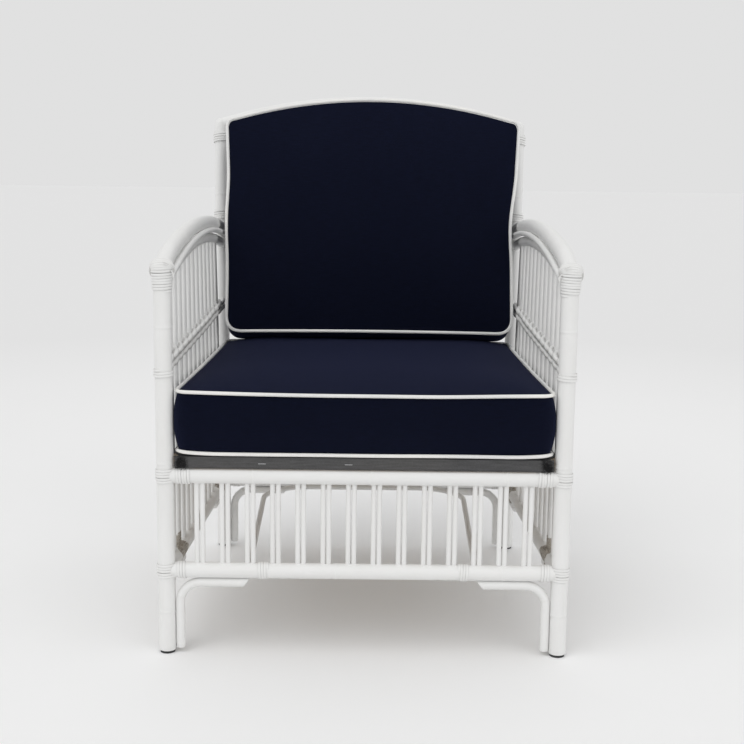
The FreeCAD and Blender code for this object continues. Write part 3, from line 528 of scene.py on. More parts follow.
def brushed_paint_group():
    """Brushed paint over cane: soft mottling, long brush streaks and a few small chips.

    Round four places on the lower side rails the paint has worn through to rough fibres, more
    surely the nearer: where a falloff over 0.045 plus noise is over a threshold.
    """
    group, begin, end = node_group(
        "brushed paint",
        [("Vector", "NodeSocketVector", None), ("Paint", "NodeSocketColor", (0.8, 0.8, 0.8, 1)),
         ("Place", "NodeSocketVector", None), ("Bare", "NodeSocketColor", (0.4, 0.3, 0.2, 1)),
         ("Chips", "NodeSocketFloat", 0.5), ("Streaks", "NodeSocketFloat", 1.0)],
        [("Color", "NodeSocketColor"), ("Roughness", "NodeSocketFloat"), ("Height", "NodeSocketFloat")])
    w = Wiring(group)
    vector = begin.outputs["Vector"]
    streak = w.noise(w.stretch(vector, (520.0, 14.0, 520.0)), 1.0, 3.0, 0.6)
    mottle = w.noise(w.stretch(vector, (30.0, 9.0, 30.0)), 1.0, 4.0, 0.55)
    pocks = w.noise(w.stretch(vector, (240.0, 110.0, 240.0)), 1.0, 5.0, 0.6)
    chip = w.ramp(pocks, 0.735, 0.75)
    chip = w.math("MULTIPLY", chip, w.ramp(mottle, 0.52, 0.62))
    chip = w.math("MULTIPLY", chip, begin.outputs["Chips"])
    dusk = w.mix(1.0, begin.outputs["Paint"], (0.963, 0.960, 0.953, 1), "MULTIPLY")
    colour = w.mix(w.ramp(mottle, 0.35, 0.7), begin.outputs["Paint"], dusk)
    colour = w.mix(w.math("MULTIPLY", w.ramp(streak, 0.5, 0.8), 0.35), colour, dusk)
    colour = w.mix(chip, colour, begin.outputs["Bare"])
    place = begin.outputs["Place"]
    x, y, z = w.add("ShaderNodeSeparateXYZ", Vector=place).outputs
    folded = w.add("ShaderNodeCombineXYZ", X=w.math("ABSOLUTE", x), Y=y, Z=z)
    close = 0.0
    for spot in WORN_SPOTS:
        gap = w.add("ShaderNodeVectorMath", {"operation": "DISTANCE"})
        w.put(gap.inputs[0], folded.outputs[0])
        gap.inputs[1].default_value = spot
        close = w.math("MAXIMUM", close, w.ramp(gap.outputs["Value"], *WORN_RADII, 1.0, 0.0))
    patches = w.noise(w.stretch(place, (70.0, 32.0, 70.0)), 1.0, 4.0, 0.65)
    worn = w.ramp(w.math("ADD", close, patches), 1.02, 1.10)
    fibres = w.noise(w.stretch(place, (900.0, 60.0, 900.0)), 1.0, 3.0, 0.6)
    rough_cane = w.mix(w.ramp(fibres, 0.35, 0.65), (0.17, 0.145, 0.115, 1), (0.55, 0.51, 0.45, 1))
    colour = w.mix(worn, colour, rough_cane)
    grain = w.math("MULTIPLY", streak, begin.outputs["Streaks"])
    height = w.math("ADD", w.math("MULTIPLY", grain, 0.5), w.math("MULTIPLY", mottle, 0.5))
    height = w.math("SUBTRACT", height, w.math("MULTIPLY", chip, 0.6))
    frayed = w.math("MULTIPLY", worn, w.math("SUBTRACT", w.math("MULTIPLY", fibres, 2.4), 1.8))
    height = w.math("ADD", height, frayed)
    w.put(end.inputs["Color"], colour)
    w.put(end.inputs["Roughness"], w.ramp(mottle, 0.3, 0.7, 0.42, 0.56))
    w.put(end.inputs["Height"], height)
    return group


def plain_weave_group():
    """Plain weave: in every other square the warp lies on top, and each thread is rounded.

    With fx, fy the place in a square from -1 to 1, the warp's height is
    (1 - fx^2)(1 - fy^2 / 2) and the weft's is (1 - fy^2)(1 - fx^2 / 2).
    """
    group, begin, end = node_group(
        "plain weave",
        [("Vector", "NodeSocketVector", None), ("Threads", "NodeSocketFloat", 1000.0)],
        [("Height", "NodeSocketFloat"), ("Weft", "NodeSocketFloat"), ("Thread", "NodeSocketFloat")])
    w = Wiring(group)
    parts = w.add("ShaderNodeSeparateXYZ", Vector=begin.outputs["Vector"])
    squares, folds = [], []
    for axis in ("X", "Y"):
        place = w.math("MULTIPLY", parts.outputs[axis], begin.outputs["Threads"])
        squares.append(w.math("FLOOR", place))
        across = w.math("SUBTRACT", w.math("MULTIPLY", w.math("FRACT", place), 2.0), 1.0)
        folds.append(w.math("MULTIPLY", across, across))
    parity = w.math("FLOORED_MODULO", w.math("ADD", *squares), 2.0)
    tops = []
    for near, far in (folds, folds[::-1]):
        round_top = w.math("SUBTRACT", 1.0, near)
        dip = w.math("SUBTRACT", 1.0, w.math("MULTIPLY", far, 0.5))
        tops.append(w.math("MULTIPLY", round_top, dip))
    gap = w.math("SUBTRACT", tops[1], tops[0])
    height = w.math("ADD", tops[0], w.math("MULTIPLY", gap, parity))
    number = w.add("ShaderNodeCombineXYZ", X=squares[0], Y=squares[1], Z=0.0)
    thread = w.add("ShaderNodeTexWhiteNoise", {"noise_dimensions": "3D"}, Vector=number.outputs[0])
    w.put(end.inputs["Height"], height)
    w.put(end.inputs["Weft"], parity)
    w.put(end.inputs["Thread"], thread.outputs["Value"])
    return group


def shared_group(name, maker):
    """The node group of that name, made the first time."""
    return bpy.data.node_groups.get(name) or maker()


def new_material(name):
    """A material with only its output and a Principled BSDF, and a wiring for its tree."""
    material = bpy.data.materials.new(name)
    material.use_nodes = True
    tree = material.node_tree
    tree.nodes.clear()
    output = tree.nodes.new("ShaderNodeOutputMaterial")
    shader = tree.nodes.new("ShaderNodeBsdfPrincipled")
    tree.links.new(shader.outputs[0], output.inputs["Surface"])
    return material, shader, Wiring(tree)


def wire_surface(w, shader, colour, roughness, height, distance):
    """Wires a surface's colour, its roughness, and a bump of a height in metres."""
    w.put(shader.inputs["Base Color"], colour)
    w.put(shader.inputs["Roughness"], roughness)
    bump = w.add("ShaderNodeBump", Height=height, Distance=distance, Strength=1.0)
    w.put(shader.inputs["Normal"], bump.outputs[0])


def paint_material(name, coordinates, scale=(1.0, 1.0, 1.0), turn=(0.0, 0.0, 0.0), chips=0.5, streaks=1.0,
                   bump=0.0004, painted_shade=None):
    """Satin paint brushed over cane; streaks run along the second coordinate once it is turned.

    Painted shade is a middle, two distances from it along the first coordinate and a share: the paint darkens
    by that share, as painted shade in grooves and under strands, as the distance goes from the first to the
    second.
    """
    settings = bpy.context.scene.armchair_poles
    material, shader, w = new_material(name)
    place = w.coordinates(coordinates)
    paint = w.add("ShaderNodeGroup", {"node_tree": shared_group("brushed paint", brushed_paint_group)},
                  Vector=w.stretch(place, scale, turn), Place=w.coordinates(), Paint=(*settings.paint, 1),
                  Bare=(*settings.bare_cane, 1), Chips=chips, Streaks=streaks)
    colour = paint.outputs["Color"]
    # Painted shade: over that band of distances the paint greys by up to the share.
    if painted_shade:
        middle, shade_starts, shade_full, share = painted_shade
        across = w.math("SUBTRACT", w.separate(place, "X"), middle)
        cover = w.ramp(w.math("ABSOLUTE", across), shade_starts, shade_full, 0.0, share)
        colour = w.mix(cover, colour, (0.36, 0.35, 0.33, 1))
    shader.inputs["Specular IOR Level"].default_value = 0.42
    wire_surface(w, shader, colour, paint.outputs["Roughness"], paint.outputs["Height"], bump)
    return material


def cloth_material(name, colour, threads, turn=0.0, sheen=0.0, shine=0.25, depth=0.0002,
                   contrast=0.25, sunned=False):
    """Woven cloth: weave, thread-by-thread tone with painted shade in the weave's hollows, and slow fading
    over the piece's own UV map.

    With painted top light the cloth is also paler from a height of 0.60 to 0.90 m upwards, painted light on
    its upper part.
    """
    material, shader, w = new_material(name)
    place = w.coordinates("UV")
    weave = w.add("ShaderNodeGroup", {"node_tree": shared_group("plain weave", plain_weave_group)},
                  Vector=w.stretch(place, (1.0, 1.0, 1.0), (0, 0, turn)), Threads=threads)
    whole = w.coordinates()
    fade = w.noise(whole, 5.0, 4.0, 0.6)
    slub = w.noise(w.stretch(place, (threads * 0.05, threads * 0.6, 1.0)), 1.0, 2.0, 0.5)
    base = np.array(colour)
    light = tuple(np.minimum(base * (1 + contrast), 1.0)) + (1,)
    dark = tuple(base * (1 - contrast)) + (1,)
    # Each thread's own tone and the slubs are the cloth's colour; the weave's height lightens its crowns and
    # darkens its hollows, painted shade.
    shade = w.math("ADD", w.math("MULTIPLY", weave.outputs["Thread"], 0.25),
                   w.math("MULTIPLY", weave.outputs["Height"], 0.25))
    shade = w.math("ADD", shade, w.math("MULTIPLY", w.ramp(slub, 0.3, 0.7), 0.5))
    woven = w.mix(shade, dark, light)
    faded = w.mix(1.0, woven, (1.18, 1.16, 1.12, 1), "MULTIPLY")
    colour = w.mix(w.ramp(fade, 0.4, 0.75), woven, faded)
    # Painted light: the cloth grows paler towards the top.
    if sunned:
        painted_lighter_top = w.mix(1.0, colour, (1.42, 1.36, 1.30, 1), "MULTIPLY")
        colour = w.mix(w.ramp(w.separate(whole, "Z"), 0.60, 0.90), colour, painted_lighter_top)
    shader.inputs["Specular IOR Level"].default_value = shine
    shader.inputs["Sheen Weight"].default_value = sheen
    shader.inputs["Sheen Roughness"].default_value = 0.45
    shader.inputs["Sheen Tint"].default_value = (0.38, 0.44, 1.0, 1)
    wire_surface(w, shader, colour, w.ramp(slub, 0.2, 0.8, 0.78, 0.92), weave.outputs["Height"], depth)
    return material


def plywood_material():
    """Bare plywood: pale plies stacked every 3 mm, with long grain on the faces."""
    material, shader, w = new_material("plywood")
    place = w.coordinates()
    plies = w.math("FLOOR", w.math("MULTIPLY", w.separate(place, "Z"), 333.0))
    dark_ply = w.math("MULTIPLY", w.math("FLOORED_MODULO", plies, 2.0), 0.4)
    grain = w.noise(w.stretch(place, (220.0, 6.0, 220.0)), 1.0, 4.0, 0.6)
    face = w.mix(w.ramp(grain, 0.3, 0.7), (0.40, 0.33, 0.25, 1), (0.56, 0.48, 0.38, 1))
    colour = w.mix(dark_ply, face, (0.27, 0.20, 0.14, 1))
    wire_surface(w, shader, colour, w.ramp(grain, 0.2, 0.8, 0.6, 0.8), grain, 0.0003)
    return material


def beech_material():
    """Turned beech with fine flecks along the dowels."""
    material, shader, w = new_material("beech")
    fleck = w.noise(w.stretch(w.coordinates(), (60.0, 60.0, 700.0)), 1.0, 3.0, 0.5)
    colour = w.mix(w.ramp(fleck, 0.4, 0.6), (0.50, 0.33, 0.19, 1), (0.62, 0.44, 0.27, 1))
    wire_surface(w, shader, colour, w.ramp(fleck, 0.2, 0.8, 0.5, 0.65), fleck, 0.0001)
    return material


def zinc_material():
    """Zinc-plated steel with cloudy patches of dull oxide."""
    material, shader, w = new_material("zinc")
    cloud = w.noise(w.coordinates(), 900.0, 4.0, 0.6)
    colour = w.mix(w.ramp(cloud, 0.4, 0.65), (0.60, 0.61, 0.62, 1), (0.40, 0.40, 0.41, 1))
    shader.inputs["Metallic"].default_value = 1.0
    wire_surface(w, shader, colour, w.ramp(cloud, 0.3, 0.7, 0.28, 0.5), cloud, 0.00005)
    return material


def glide_material():
    """Black moulded plastic, scuffed grey where it has slid over floors."""
    material, shader, w = new_material("glide plastic")
    place = w.coordinates()
    grain = w.noise(place, 2600.0, 2.0, 0.5)
    scuff = w.ramp(w.noise(w.stretch(place, (900.0, 120.0, 300.0)), 1.0, 3.0, 0.6), 0.55, 0.75)
    colour = w.mix(scuff, (0.012, 0.012, 0.013, 1), (0.06, 0.06, 0.06, 1))
    wire_surface(w, shader, colour, w.ramp(scuff, 0, 1, 0.38, 0.7), grain, 0.00006)
    return material


def foam_material():
    """Open-cell foam: round pores with painted shade in their hollows, yellowed a little."""
    material, shader, w = new_material("foam")
    pores = w.add("ShaderNodeTexVoronoi", Vector=w.coordinates(), Scale=420.0)
    hollow = w.ramp(pores.outputs["Distance"], 0.1, 0.6)
    # Darker pore hollows: painted shade.
    colour = w.mix(hollow, (0.55, 0.47, 0.28, 1), (0.80, 0.73, 0.52, 1))
    wire_surface(w, shader, colour, w.ramp(hollow, 0, 1, 0.95, 0.85), hollow, 0.0006)
    return material


def floor_material():
    """A pale matt floor with a very faint unevenness, and painted light: 13 % darker far away than round the
    chair.
    """
    base = np.array(bpy.context.scene.armchair_stage.floor)
    material, shader, w = new_material("pale floor")
    place = w.coordinates()
    cloud = w.noise(place, 1.6, 3.0, 0.5)
    away = w.add("ShaderNodeVectorMath", {"operation": "LENGTH"}, Vector=place).outputs["Value"]
    near = w.mix(cloud, (*(base * 0.99), 1), (*np.minimum(base * 1.01, 1), 1))
    # Painted light: brighter round the chair, darker far away.
    w.put(shader.inputs["Base Color"], w.mix(w.ramp(away, 0.7, 3.5), near, (*(base * 0.87), 1)))
    w.put(shader.inputs["Roughness"], w.ramp(cloud, 0.2, 0.8, 0.80, 0.9))
    shader.inputs["Specular IOR Level"].default_value = 0.15
    return material


def shared_material(name, maker, *values, **named):
    """The material of that name, made the first time."""
    return bpy.data.materials.get(name) or maker(*values, **named)


def pole_paint():
    return shared_material("painted pole", paint_material, "painted pole", "UV")


def dress(names, material):
    """Gives CAD nodes whose shape is kept their finish."""
    for name in names:
        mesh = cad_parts[name].data
        mesh.materials.clear()
        mesh.materials.append(material)


class ARMCHAIR_OT_posts(bpy.types.Operator):
    """Makes the four posts: straight in front, raked behind with round tops"""
    bl_idname = "armchair.posts"
    bl_label = "Posts"

    def execute(self, context):
        paint = pole_paint()
        front = pole(straight(xyz(-FRONT_HALF, 0, GLIDE_TOP), xyz(-FRONT_HALF, 0, FRONT_POST_TOP)),
                     POST_RADIUS, BACK, 11)
        foot, bend = xyz(-BACK_HALF, POST_DEPTH, GLIDE_TOP), xyz(-BACK_HALF, POST_DEPTH, UPPER_RAIL)
        back = pole(bent([foot, bend, back_post_point(BACK_POST_TOP)], BACK_BEND), POST_RADIUS, RIGHT, 12,
                    ("cut", "round"))
        left_and_right("front_%s_post_pole", "front_%s_post", front, paint)
        left_and_right("back_%s_post_pole", "back_%s_post", back, paint)
        return {"FINISHED"}


class ARMCHAIR_OT_rails(bpy.types.Operator):
    """Makes the upper and lower rails and the arched top rail"""
    bl_idname = "armchair.rails"
    bl_label = "Rails"

    def execute(self, context):
        paint = pole_paint()
        inside = 8.0
        for name, height, seed in (("upper", UPPER_RAIL, 21), ("lower", LOWER_RAIL, 31)):
            front = pole(straight(xyz(-FRONT_HALF + inside, 0, height), xyz(FRONT_HALF - inside, 0, height)),
                         RAIL_RADIUS, UP, seed)
            back = pole(straight(xyz(-BACK_HALF + inside, POST_DEPTH, height),
                                 xyz(BACK_HALF - inside, POST_DEPTH, height)), RAIL_RADIUS, UP, seed + 1)
            share = inside / POST_DEPTH
            side = pole(straight(side_point(share, height), side_point(1 - share, height)),
                        RAIL_RADIUS, UP, seed + 2)
            for place, part in (("front", front), ("back", back)):
                node = place + "_" + name + "_rail"
                piece(node + "_pole", part, paint, [node])
            left_and_right("%s_" + name + "_rail_pole", "%s_" + name + "_rail", side, paint)
        left = back_post_point(BACK_POST_TOP)
        crest = back_post_point(BACK_POST_TOP + TOP_RAIL_RISE)
        arch = arc_through(left, xyz(0, crest[1], crest[2]), left * xyz(-1, 1, 1))
        piece("back_top_rail_pole", pole(arch, RAIL_RADIUS, BACK, 41), paint, ["back_top_rail"])
        return {"FINISHED"}


def arm_arc(front, crest, back, inset):
    """The arc of an arm pole from the front post's axis over the arm's middle to the back post's."""
    end = back_post_point(back)[1] / back_post_point(ARM_BACK)[1]
    return arc_through(arm_point(0, front, inset), arm_point(0.5, crest, inset), arm_point(end, back, inset))


class ARMCHAIR_OT_arms(bpy.types.Operator):
    """Makes the thick arm poles with their round noses, and the two thinner poles under each"""
    bl_idname = "armchair.arms"
    bl_label = "Arms"

    def execute(self, context):
        paint = pole_paint()
        length = np.linalg.norm(arm_point(1, 0) - arm_point(0, 0))
        shoulder = arm_point(ARM_NOSE / length, FRONT_POST_TOP + ARM_NOSE_RISE)
        bow = arc_through(arm_point(1, ARM_BACK), arm_point(0.5, ARM_CREST), shoulder)
        ahead = unit(bow[-1] - bow[-2])
        tip = arm_point(0, FRONT_POST_TOP)
        chord = tip - shoulder
        reach = np.dot(chord, chord) / (2 * np.dot(chord, ahead))
        corner = shoulder + ahead * reach
        weight = np.linalg.norm(chord) / (2 * reach)
        middle = (shoulder + corner * 2 * weight + tip) / (2 + 2 * weight)
        nose = arc_through(shoulder, middle, tip)
        thick = pole(np.concatenate([bow, nose[1:]])[::-1], POST_RADIUS, RIGHT, 51, ("round", "cut"), 32)
        left_and_right("%s_arm_pole_bow", "%s_arm_pole", thick, paint)
        for node, (radius, *heights), seed in (("arm_under_pole", UNDER_POLE, 52),
                                               ("arm_filler_pole", FILLER_POLE, 53)):
            part = pole(arm_arc(*heights), radius, RIGHT, seed, sides=20)
            left_and_right("%s_" + node + "_bow", "%s_" + node, part, paint)
        return {"FINISHED"}


def bracket(foot, direction, seed):
    """A bent pole in the corner under a lower rail, its free end sawn at a slant.

    Within 6 of the end and past it, a point moves along the rail by slant times its height
    over the pole's middle.
    """
    gap, slant, eased = 0.3, 0.78, 6
    stand_off = POST_RADIUS + gap + BRACKET_RADIUS
    level = LOWER_RAIL - RAIL_RADIUS - gap - BRACKET_RADIUS
    corner = foot + direction * stand_off + UP * level
    low = foot + direction * stand_off + UP * BRACKET_FOOT
    end = foot + direction * (BRACKET_REACH - BRACKET_RADIUS * slant) + UP * level
    line = bent([low, corner, end], BRACKET_BEND)
    part = pole(line, BRACKET_RADIUS, np.cross(direction, UP), seed, sides=18)
    past = (part.points - end) @ direction
    shift = np.clip((past + eased) / eased, 0, 1) * (part.points[:, 2] - level) * slant
    part.points += shift[:, None] * direction
    return part


class ARMCHAIR_OT_under_seat(bpy.types.Operator):
    """Makes the corner brackets and the bent stretcher under the seat"""
    bl_idname = "armchair.under_seat"
    bl_label = "Brackets and stretcher"

    def execute(self, context):
        paint = pole_paint()
        front, back, side_front, side_back = [bracket(foot, direction, 61 + index)
                                              for index, (foot, direction) in enumerate(rail_ends())]
        for name, part in (("front", front), ("back", back)):
            piece(name + "_bent_brackets", both_sides(part), paint, [name + "_brackets"])
        left_and_right("%s_bent_brackets", "%s_brackets", joined([side_front, side_back]), paint)
        apart = RAIL_RADIUS + STRETCHER_RADIUS + 0.3
        depth = POST_DEPTH - math.sqrt(apart ** 2 - (LOWER_RAIL - STRETCHER_LEVEL) ** 2)
        corners = [xyz(x, y, STRETCHER_LEVEL)
                   for x, y in ((-189, 15.0), (-206, depth), (199, depth), (185.4, 15.0))]
        loop = pole(bent(corners, 90.0), STRETCHER_RADIUS, UP, 71, sides=18)
        piece("seat_stretcher_loop", loop, paint, ["seat_stretcher"])
        return {"FINISHED"}


SPINDLES = ("front_apron_spindles", "back_apron_spindles", "left_apron_spindles", "right_apron_spindles",
            "left_arm_spindles", "right_arm_spindles", "back_spindles")


class ARMCHAIR_OT_spindles(bpy.types.Operator):
    """Paints the paired spindles of the apron, the arms and the back"""
    bl_idname = "armchair.spindles"
    bl_label = "Spindles"

    def execute(self, context):
        dress(SPINDLES, paint_material("painted spindle", "Object", turn=(math.pi / 2, 0, 0), chips=0.4,
                                       streaks=0.6, bump=0.0003))
        return {"FINISHED"}


def wound(centre, axis, side, radius, turns, width, thickness, pitch, seed, sunk=2.2):
    """Flat cane wound round a straight pole.

    The strap's middle is centre + axis (w / 2 + pitch t) + R (side cos 2 pi t + across
    sin 2 pi t), t from 0 to turns. R is the pole's radius plus half the strap, with a
    little play, and eases down by sunk over the last 0.14 turn at each end.
    """
    draws = np.random.default_rng(seed)
    axis = unit(axis)
    side = unit(side - axis * np.dot(side, axis))
    across = np.cross(axis, side)
    t = np.linspace(0, turns, int(28 * turns) + 1)
    knots = np.linspace(0, turns, int(turns * 2) + 3)
    wander = np.interp(t, knots, draws.normal(0, 1, len(knots)))
    tuck = np.clip(np.minimum(t, turns - t) / TUCK_TURNS, 0, 1)
    reach = radius + thickness / 2 + 0.05 * wander - sunk * (1 - tuck * tuck * (3 - 2 * tuck))
    angle = (2 * math.pi * t)[:, None]
    outward = np.cos(angle) * side + np.sin(angle) * across
    climb = width / 2 + pitch * t + 0.16 * wander
    path = centre + outward * reach[:, None] + axis * climb[:, None]
    return swept(path, outward, strap_ring(thickness, width), flat=True)


def joint_lashings(height, turns, width, thickness):
    """Cane round the left posts, and then round the rails' ends beside them, at one height of rails."""
    pitch = width + 0.2
    posts, rails = [], []
    for index, foot in enumerate((xyz(-FRONT_HALF, 0, 0), xyz(-BACK_HALF, POST_DEPTH, 0))):
        posts.append(wound(foot + UP * (height - 2.75 * pitch), UP, -RIGHT, POST_RADIUS, 4.75, width,
                           thickness * 0.6, pitch, 80 + index))
    for index, (foot, direction) in enumerate(rail_ends()):
        start = foot + UP * height + direction * (POST_RADIUS + 1.2)
        rails.append(wound(start, direction, -UP, RAIL_RADIUS, turns, width, thickness * 0.45, width,
                           90 + index, sunk=1.2))
    return posts, rails


def nose_lashing(width, thickness, pitch):
    """Cane wound up the front post's top and then fanned over the arm pole's round nose.

    Up to the post's top this is a plain helix whose cane thickens from 0.4 to 1 of its
    thickness. From there its plane tips back by 13.5 degrees a turn about the nose's middle,
    so the turns spread over the nose in front and lie on each other at both sides, where R
    grows by 0.45 mm a turn, and behind, by 0.9 mm a turn.
    """
    low, over, turn_tip = NOSE_LASHING_FOOT, 5.75, 13.5
    centre = xyz(-FRONT_HALF, 0, 0)
    up = (FRONT_POST_TOP - low - width / 2) / pitch
    t = np.linspace(0, up + over, int(30 * (up + over)))
    draws = np.random.default_rng(101)
    knots = np.arange(0, t[-1] + 1, 0.4)
    wander = np.interp(t, knots, draws.normal(0, 1, len(knots)))
    past = np.clip(t - up, 0, None)
    tip = np.radians(turn_tip) * past
    height = low + width / 2 + pitch * np.minimum(t, up)
    angle = 2 * math.pi * t
    forward = np.stack([np.zeros_like(t), -np.cos(tip), np.sin(tip)], axis=1)
    outward = np.cos(angle)[:, None] * forward + np.sin(angle)[:, None] * RIGHT
    pile = past * (0.45 * np.abs(np.sin(angle)) + 0.9 * np.clip(-np.cos(angle), 0, 1))
    tuck = np.clip(np.minimum(t, t[-1] - t) / TUCK_TURNS, 0, 1)
    swell = 0.4 + 0.6 * np.clip(t / up, 0, 1)
    reach = POST_RADIUS + thickness * swell / 2 + 0.08 * wander + pile - 2.2 * (1 - tuck)
    slip = np.where(past > 0, 0.0, 0.22 * wander)
    path = centre + UP * (height + slip)[:, None] + outward * reach[:, None]
    spread = np.stack([swell, np.ones_like(t)], axis=1)
    return swept(path, outward, strap_ring(thickness, width), spread, flat=True)


def loose_ends(width, thickness):
    """Two cut ends of cane beside the nose's lashing: short bowed straps.

    Each runs from its foot along a direction and bows out by 4 b t (1 - t).
    """
    t = np.linspace(0, 1, 9)[:, None]
    parts = []
    for foot, way, bow in (((-316, -19, 641), (9, 3, -4), (0, -1, 0)),
                           ((-304, -9, 628), (4, -4, -12), (2, -1, 0))):
        path = np.array(foot) + np.array(way) * t + np.array(bow) * 4 * t * (1 - t)
        outward = unit(path[4] - xyz(-FRONT_HALF, 0, FRONT_POST_TOP))
        parts.append(swept(path, outward, strap_ring(thickness * 0.35, width * 0.5)))
    return joined(parts)


class ARMCHAIR_OT_lashings(bpy.types.Operator):
    """Winds flat cane round every joint"""
    bl_idname = "armchair.lashings"
    bl_label = "Cane lashings"

    def execute(self, context):
        cane = context.scene.armchair_cane
        width, thickness = cane.width / MM, cane.thickness / MM
        pitch = width + 0.2
        edge = width * MM
        # The darkening at each strap's two edges is painted shade in the grooves between turns.
        material = paint_material("painted cane", "UV", scale=(0.6, 1.6, 1.0), chips=0.7, streaks=2.0,
                                  bump=0.0005, painted_shade=(0.0, edge * 0.37, edge * 0.485, 0.4))
        joints = (("upper", joint_lashings(UPPER_RAIL, 5.25, width, thickness)),
                  ("lower", joint_lashings(LOWER_RAIL, 3.25, width, thickness)))
        parts = {name + kind: found[index] for index, kind in enumerate(("_post", "_rail"))
                 for name, found in joints}
        parts["arm_front"] = [nose_lashing(width, thickness * 1.25, width + 0.1),
                              loose_ends(width, thickness)]

        def wrap(start, axis, side, turns, share, seed, radius=POST_RADIUS, step=pitch):
            return [wound(start, axis, side, radius, turns, width, thickness * share, step, seed)]

        top = back_post_point(BACK_POST_TOP)
        down = unit(back_post_point(UPPER_RAIL) - top)
        parts["post_ring"] = wrap(xyz(-FRONT_HALF, 0, POST_RING - 1.5 * pitch), UP, BACK, 2.5, 0.7, 105)
        parts["stretcher"] = wrap(xyz(-STRETCHER_TIE - 2.0 * pitch, 0, LOWER_RAIL), RIGHT, BACK, 3.5, 0.45,
                                  106, RAIL_RADIUS, width)
        parts["back_top"] = wrap(top + down * (RAIL_RADIUS + 0.7), down, -RIGHT, 4.5, 1.0, 107)
        parts["arm_back"] = wrap(back_post_point(ARM_BACK_LASHING), -down, -RIGHT, 3.5, 1.0, 108)
        for name, found in parts.items():
            piece(name + "_cane", both_sides(joined(found)), material, [name + "_lashings"])
        return {"FINISHED"}


def pair_shares():
    """Places of the arm spindles' pairs between the front and back posts."""
    span = math.hypot(POST_DEPTH, FRONT_HALF - BACK_HALF)
    step = (span - 2 * POST_RADIUS) / (SIDE_PAIRS + 1)
    return (POST_RADIUS + step * (np.arange(SIDE_PAIRS) + 1)) / span, step / span


def arc_height(arc, y):
    """Height of an arc in an upright plane over a depth."""
    order = np.argsort(arc[:, 1])
    return np.interp(y, arc[order, 1], arc[order, 2])


def band_point(share, level):
    """A point on the arm spindles' surface between the side rail and the pole under the arm."""
    share, level = np.broadcast_arrays(np.asarray(share, float), np.asarray(level, float))
    foot = np.stack([-FRONT_HALF + (FRONT_HALF - BACK_HALF) * share, POST_DEPTH * share], axis=-1)
    post = back_post_point(ARM_BACK)
    head = np.stack([-FRONT_HALF + (post[0] + FRONT_HALF) * foot[..., 1] / post[1], foot[..., 1]], axis=-1)
    top = arc_height(arm_arc(*UNDER_POLE[1:]), foot[..., 1])
    lean = ((level - UPPER_RAIL) / (top - UPPER_RAIL))[..., None]
    return np.concatenate([foot + (head - foot) * lean, level[..., None]], axis=-1)


def twined_band():
    """Two rows of twining across the arm spindles, each of two strands.

    Along the band a strand stands off the spindles' plane by a * tanh(0.8 cos p) / tanh(0.8)
    and off its row by b * sin p, where p turns by pi from one pair to the next. The second
    strand is half a turn behind. A strand is thinner where it crosses the plane, and over
    the front three quarters of the arm a is 2 mm more.
    """
    strand = bpy.context.scene.armchair_cane.strand / MM
    pairs, step = pair_shares()
    ends = np.array([POST_RADIUS - 6, POST_DEPTH - POST_RADIUS + 6]) / POST_DEPTH
    share = np.linspace(ends[0], ends[1], 520)
    phase = math.pi * (share - pairs[0]) / step
    level = BAND_LEVEL + BAND_CLIMB * share
    stand = SPINDLE_RADIUS + strand / 2 + 0.1 + 2.0 * np.clip((0.75 - share) / 0.1, 0, 1)
    parts = []
    for row, offset in enumerate(BAND_ROWS):
        for lag in (0, math.pi):
            swing = np.tanh(0.8 * np.cos(phase + lag)) / math.tanh(0.8)
            weave = strand * BAND_WEAVE * np.sin(phase + lag)
            path = band_point(share, level + offset + weave) + RIGHT * (stand * swing)[:, None]
            breathe = 0.70 + 0.04 * np.sin(share * 70 + row * 2 + lag) + 0.45 * swing ** 2
            parts.append(swept(path, UP, ring(strand / 2, 12) * np.array([1.05, 0.95]), breathe))
    return joined(parts)


class ARMCHAIR_OT_bands(bpy.types.Operator):
    """Twines the bands across the arm spindles"""
    bl_idname = "armchair.bands"
    bl_label = "Twined bands"

    def execute(self, context):
        below = math.pi / 2 * context.scene.armchair_cane.strand
        # The darkening on each strand's underside is painted shade under the strand.
        material = paint_material("painted twining", "UV", scale=(1.2, 2.0, 1.0), chips=0.3, streaks=2.5,
                                  bump=0.0007, painted_shade=(below, below * 0.8, below * 0.35, 0.62))
        left_and_right("%s_twined_band", "%s_arm_band", twined_band(), material)
        return {"FINISHED"}


class ARMCHAIR_OT_fittings(bpy.types.Operator):
    """Finishes the dowels, screws, nails, staples, glides and the seat panel"""
    bl_idname = "armchair.fittings"
    bl_label = "Panel and fittings"

    def execute(self, context):
        dress(["seat_panel"], plywood_material())
        dress(["rail_dowels"], beech_material())
        dress(["seat_panel_screws", "cloth_staples"], zinc_material())
        dress(["bracket_nails"], paint_material("painted nail", "Object", chips=1.0))
        dress(["foot_glides"], glide_material())
        return {"FINISHED"}


